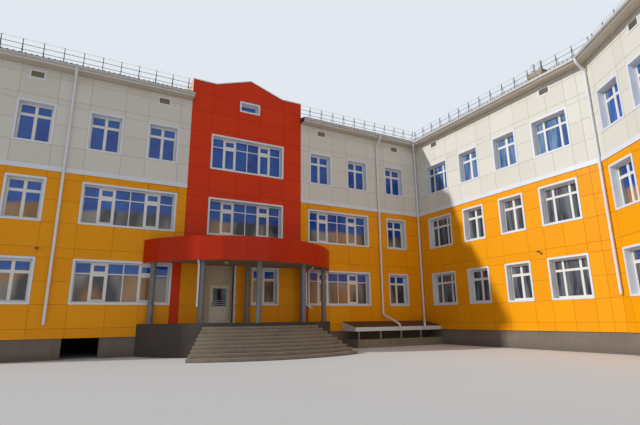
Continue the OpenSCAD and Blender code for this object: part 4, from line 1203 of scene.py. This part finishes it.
column_grey, at = finish("column_finish", Roughness=0.55)
brush = mottle(stretched(at, 1, 1, 0.15), 0.1, 3.0)
rub = between(mottle(at, 0.3, 5.0), 0.5, 0.75)
brushed = blend(brush, colour(108, 109, 111), colour(126, 125, 124))
lay(column_grey, "Base Color", blend(rub * 0.4, brushed, colour(88, 86, 84)))
relief(column_grey, brush, 0.001, 0.5)
foot_z, head_z = porch_z + 0.001, canopy_z - 0.001
column = turned([
    (0, foot_z), (0.185, foot_z), (0.185, 1.6), (0.155, 1.612), (0.15, 1.66), (0.145, 1.665), (0.145, 4.62),
    (0.152, 4.626), (0.17, 4.66), (0.17, head_z), (0, head_z),
])
canopy_r, canopy_y = 6.11, 2.19
columns_r, columns_y, middle_turn, turn_step, inner_y = 6.01, 2.628, -2.8, 27.2, -0.765
feet = [(0, inner_y, 0, 0), (3.43, inner_y, 0, 0)]
for i in range(-2, 3):
    turn = math.radians(middle_turn + turn_step * i)
    feet.append((columns_r * math.sin(turn), columns_y - columns_r * math.cos(turn), 0, 0))
hand_over(set_out(column, feet, "columns"), column_grey, instead_of=["porch_columns"])

ceiling, at = finish("canopy_plaster", Roughness=0.9)
trowel = mottle(at, 0.7, 6.0)
bitumen = between(level_of(at), 4.88, 4.93)
plaster = blend(trowel, colour(138, 114, 92), colour(164, 138, 112))
lay(ceiling, "Base Color", blend(bitumen, plaster, blend(trowel, colour(70, 70, 72), colour(88, 88, 90))))
relief(ceiling, trowel, 0.004)
dress(ceiling, "canopy_slab")

band_foot, band_h, band_t, wall_side = 4.62, 1.22, 0.05, 0.336
half_turn = math.acos((canopy_y + wall_side) / canopy_r)
band_r, folds = canopy_r - 0.009, 12
band = first_point(-band_r * math.sin(half_turn), canopy_y - band_r * math.cos(half_turn), band_foot)
draw((0, 0, band_h))
everything()
bpy.ops.mesh.spin(steps=folds, angle=-2 * half_turn, center=(0, canopy_y, 0), axis=(0, 0, 1))
everything()
bpy.ops.mesh.remove_doubles(threshold=0.0004)
bpy.ops.mesh.select_mode(type="FACE")
normals_out()
look_along(band, outwards)
everything()
bpy.ops.mesh.inset(thickness=0.004, depth=0.007, use_individual=True)
done()
# The band's red is the red panel paint darkened as painted shade.
canopy_red_shaded = panel_paint(
    "canopy_red_paint", colour(182, 40, 5), colour(189, 44, 6), colour(196, 48, 8), gloss=0.34)
band.data.materials.append(canopy_red_shaded)
give(band, "SOLIDIFY", thickness=band_t, offset=-1)
tint_panels(band, 11)
hand_over(one_piece([band], "canopy_band"), None, instead_of=["canopy_fascia"])


# Lamps: a dome under the canopy in a dark ring, and a floodlight on a bracket on each of two walls.
lamp_white, at = finish("lamp_dome", Roughness=0.25)
lay(lamp_white, "Base Color", blend(mottle(at, 0.1), colour(150, 146, 138), colour(172, 168, 160)))
lamp_dark, at = finish("lamp_metal", Roughness=0.45, Metallic=0.3)
lay(lamp_dark, "Base Color", blend(mottle(at, 0.06), colour(58, 56, 54), colour(76, 74, 72)))
lamp_x, lamp_y, lamp_steps = -1.65, -2.1, 24
dome = turned([
    (0.15, head_z), (0.148, 4.69), (0.128, 4.636), (0.09, 4.595), (0.044, 4.572), (0, 4.566),
], lamp_x, lamp_y, lamp_steps)
hand_over(one_piece([dome], "porch_lamp_dome"), lamp_white, instead_of=["lamps"])
ring = turned([
    (0, head_z), (0.172, head_z), (0.174, 4.72), (0.166, 4.7), (0.15, 4.698), (0.142, 4.72), (0, 4.72),
], lamp_x, lamp_y, lamp_steps)
hand_over(one_piece([ring], "porch_lamp_ring"), lamp_dark, instead_of=["lamps"])

head_w, head_h, lamp_z = 0.16, 0.09, 5.035
lamp = plain_board(head_w, head_h, -0.27)
bpy.ops.mesh.inset(thickness=0.012, depth=0)
bpy.ops.mesh.inset(thickness=0.002, depth=-0.008)
done()
editing(lamp)
near = 0.001
pick(lamp, edges=lambda middle, way: (
    abs(middle.x) > head_w / 2 - near or middle.z < near or middle.z > head_h - near))
draw((0, 0.11, 0))
bpy.ops.transform.resize(value=(0.7, 1, 0.7), center_override=(0, 0, head_h / 2))
bpy.ops.mesh.edge_face_add()
pick(lamp, faces=lambda middle, normal: middle.y > -0.165)
bpy.ops.mesh.inset(thickness=0.03, depth=0)
draw((0, 0.1, 0))
normals_out()
done()
wall_lamps = set_out(lamp, [spot("front", -10.26, lamp_z), spot("wing", 9.64, lamp_z)], "wall_lamps")
hand_over(wall_lamps, lamp_dark, instead_of=["lamps"])


# Entrance: raw plaster with cracks closes the recess round the door, over bare brick at the right, and
# white edge strips trim the panels on both sides; the right one is still torn along its edge.
raw, at = finish("raw_plaster", Roughness=0.95)
smear = mottle(stretched(at, 1, 1, 0.6), 0.35, 6.0, 0.65)
crack = at.node("ShaderNodeTexVoronoi", {"Vector": at, "Scale": 1.6}, feature="DISTANCE_TO_EDGE")
crack_line = 1 - between(crack + mottle(at, 0.05) * 0.03, 0.012, 0.028)
smeared = blend(smear, colour(186, 166, 138), colour(214, 198, 172))
lay(raw, "Base Color", blend(crack_line * 0.6, smeared, colour(94, 78, 64)))
relief(raw, smear * 0.7 - crack_line * 0.5, 0.006)
dress(raw, "door_infill")

brick_red, at = finish("reveal_brick", Roughness=0.9)
burnt = mottle(at, 0.12, 3.0)
lay(brick_red, "Base Color", blend(burnt, colour(104, 66, 44), colour(138, 92, 62)))
relief(brick_red, mottle(at, 0.01), 0.002)
brick_t, brick_w, brick_h, bed, courses = 0.012, 0.17, 0.065, 0.012, 41
brick = cuboid((brick_t, brick_w, brick_h), (-0.597, -0.155, 1.6))
bpy.ops.mesh.bevel(offset=0.004, segments=1)
done()
repeat(brick, 2, (0, brick_w + bed, 0))
repeat(brick, courses, (0, 0, brick_h + bed))
hand_over(one_piece([brick], "reveal_bricks"), brick_red)

trim_foot, trim_h, trim_cuts = 1.565, 3.17, 26
cut_levels = [trim_foot + i * trim_h / trim_cuts for i in range(1, trim_cuts)]
strips = []
for x, width, torn in ((recess_left, 0.08, False), (recess_right, 0.1, True)):
    strip = plain_board(width, trim_h, -clad_t - 0.012)
    bpy.ops.transform.translate(value=(x, 0, trim_foot))
    for z in cut_levels:
        everything()
        bpy.ops.mesh.bisect(plane_co=(0, 0, z), plane_no=(0, 0, 1))
    if torn:
        pot = random.Random(4)
        for z in cut_levels:
            pick(strip, points=lambda point: abs(point.z - z) < 0.01 and point.x > x)
            bpy.ops.transform.translate(value=(pot.uniform(-0.035, 0.02), 0, pot.uniform(-0.02, 0.02)))
    done()
    give(strip, "SOLIDIFY", thickness=0.01, offset=-1)
    strips.append(settle(strip, y=court_y))
hand_over(one_piece(strips, "recess_trims"), white)


# Entrance door: a painted leaf with a pressed lower panel and a glazed upper one behind three bars, on
# pin hinges in a plain frame, with a tubular pull handle.
door_cream, at = finish("door_finish", Roughness=0.4)
touch = between(mottle(at, 0.25, 5.0), 0.45, 0.75)
lay(door_cream, "Base Color", blend(touch * 0.35, colour(220, 211, 194), colour(186, 174, 154)))
relief(door_cream, touch, 0.0006, 0.5)
dress(door_cream, "door_leaf", "door_frame")
steel, at = finish("brushed_steel", Roughness=0.35, Metallic=0.9)
grain = mottle(stretched(at, 1, 1, 0.05), 0.02)
lay(steel, "Base Color", blend(grain, colour(150, 150, 150), colour(182, 182, 182)))
dress(steel, "door_handle", "door_hinges")
door_glass, at = finish("door_glazing", Roughness=0.08)
# The door pane's colour is painted reflection: dark grey with paler patches.
door_reflection = between(mottle(at, 0.5, 3.0), 0.35, 0.65)
lay(door_glass, "Base Color", blend(door_reflection, colour(34, 36, 40), colour(92, 96, 98)))
dress(door_glass, "door_glass")

door_x, leaf_face, sheet_t = -1.3, 0.135, 0.002
bead = plain_board(0.86, 1.06, leaf_face - 0.0005)
bpy.ops.transform.translate(value=(door_x, 0, 2.44))
bpy.ops.mesh.inset(thickness=0.022, depth=0.012)
bpy.ops.mesh.inset(thickness=0.022, depth=-0.012)
bpy.ops.mesh.delete(type="FACE")
done()
give(bead, "SOLIDIFY", thickness=sheet_t, offset=-1)
kick = plain_board(0.8, 0.66, leaf_face - 0.0005)
bpy.ops.transform.translate(value=(door_x, 0, 1.69))
bpy.ops.mesh.inset(thickness=0.03, depth=0.01)
bpy.ops.mesh.inset(thickness=0.03, depth=-0.008)
done()
give(kick, "SOLIDIFY", thickness=sheet_t, offset=-1)
hand_over(one_piece([bead, kick], "door_beads"), door_cream, body="entrance_door")

deselect()
bpy.ops.mesh.primitive_cylinder_add(vertices=12, radius=0.011, depth=0.84, location=(0, 0, 0))
bar = bpy.context.active_object
editing(bar)
bpy.ops.transform.rotate(value=math.pi / 2, orient_axis="Y", center_override=(0, 0, 0))
bpy.ops.transform.translate(value=(door_x, leaf_face - 0.026, 2.56))
pick(bar, faces=lambda middle, normal: abs(normal.x) > 0.9)
bpy.ops.mesh.inset(thickness=0.003, depth=0)
draw((0, 0.02, 0))
normals_out()
done()
settle(bar)
repeat(bar, 3, (0, 0, 0.11))
hand_over(one_piece([bar], "door_bars"), white, body="entrance_door")


# Areaway: a concrete kerb, grey posts on it, and a lean-to of ribbed brown sheet with white boards on
# its front and its left end.
dress(steps_grey, "areaway_kerb")
dress(white, "areaway_boards")
post_grey, at = finish("areaway_post_paint", Roughness=0.7)
lay(post_grey, "Base Color", blend(mottle(at, 0.2, 4.0), colour(120, 116, 108), colour(150, 146, 138)))
dress(post_grey, "areaway_posts")
lean_x, lean_end, lean_front, lean_foot, ribs = 6.46, 13.238, -1.863, 1.202, 56
lean_rib, lean_flank, lean_rise = 0.048, 0.012, 0.034
lean = first_point(lean_x, lean_front, lean_foot)
draw((0.05, 0, 0), (lean_flank, 0, lean_rise), (lean_rib, 0, 0), (lean_flank, 0, -lean_rise))
done()
join_in_row(lean, ribs)
editing(lean)
draw((0, 1.546, 0.306))
cut_line((lean_end, 0, 0), (1, 0, 0), drop_outside=True)
normals_out()
look_along(lean, (0, 0, 1))
done()
give(lean, "SOLIDIFY", thickness=0.003, offset=-1)
hand_over(one_piece([lean], "lean_to_sheet"), sheet_brown, instead_of=["areaway_roof"])
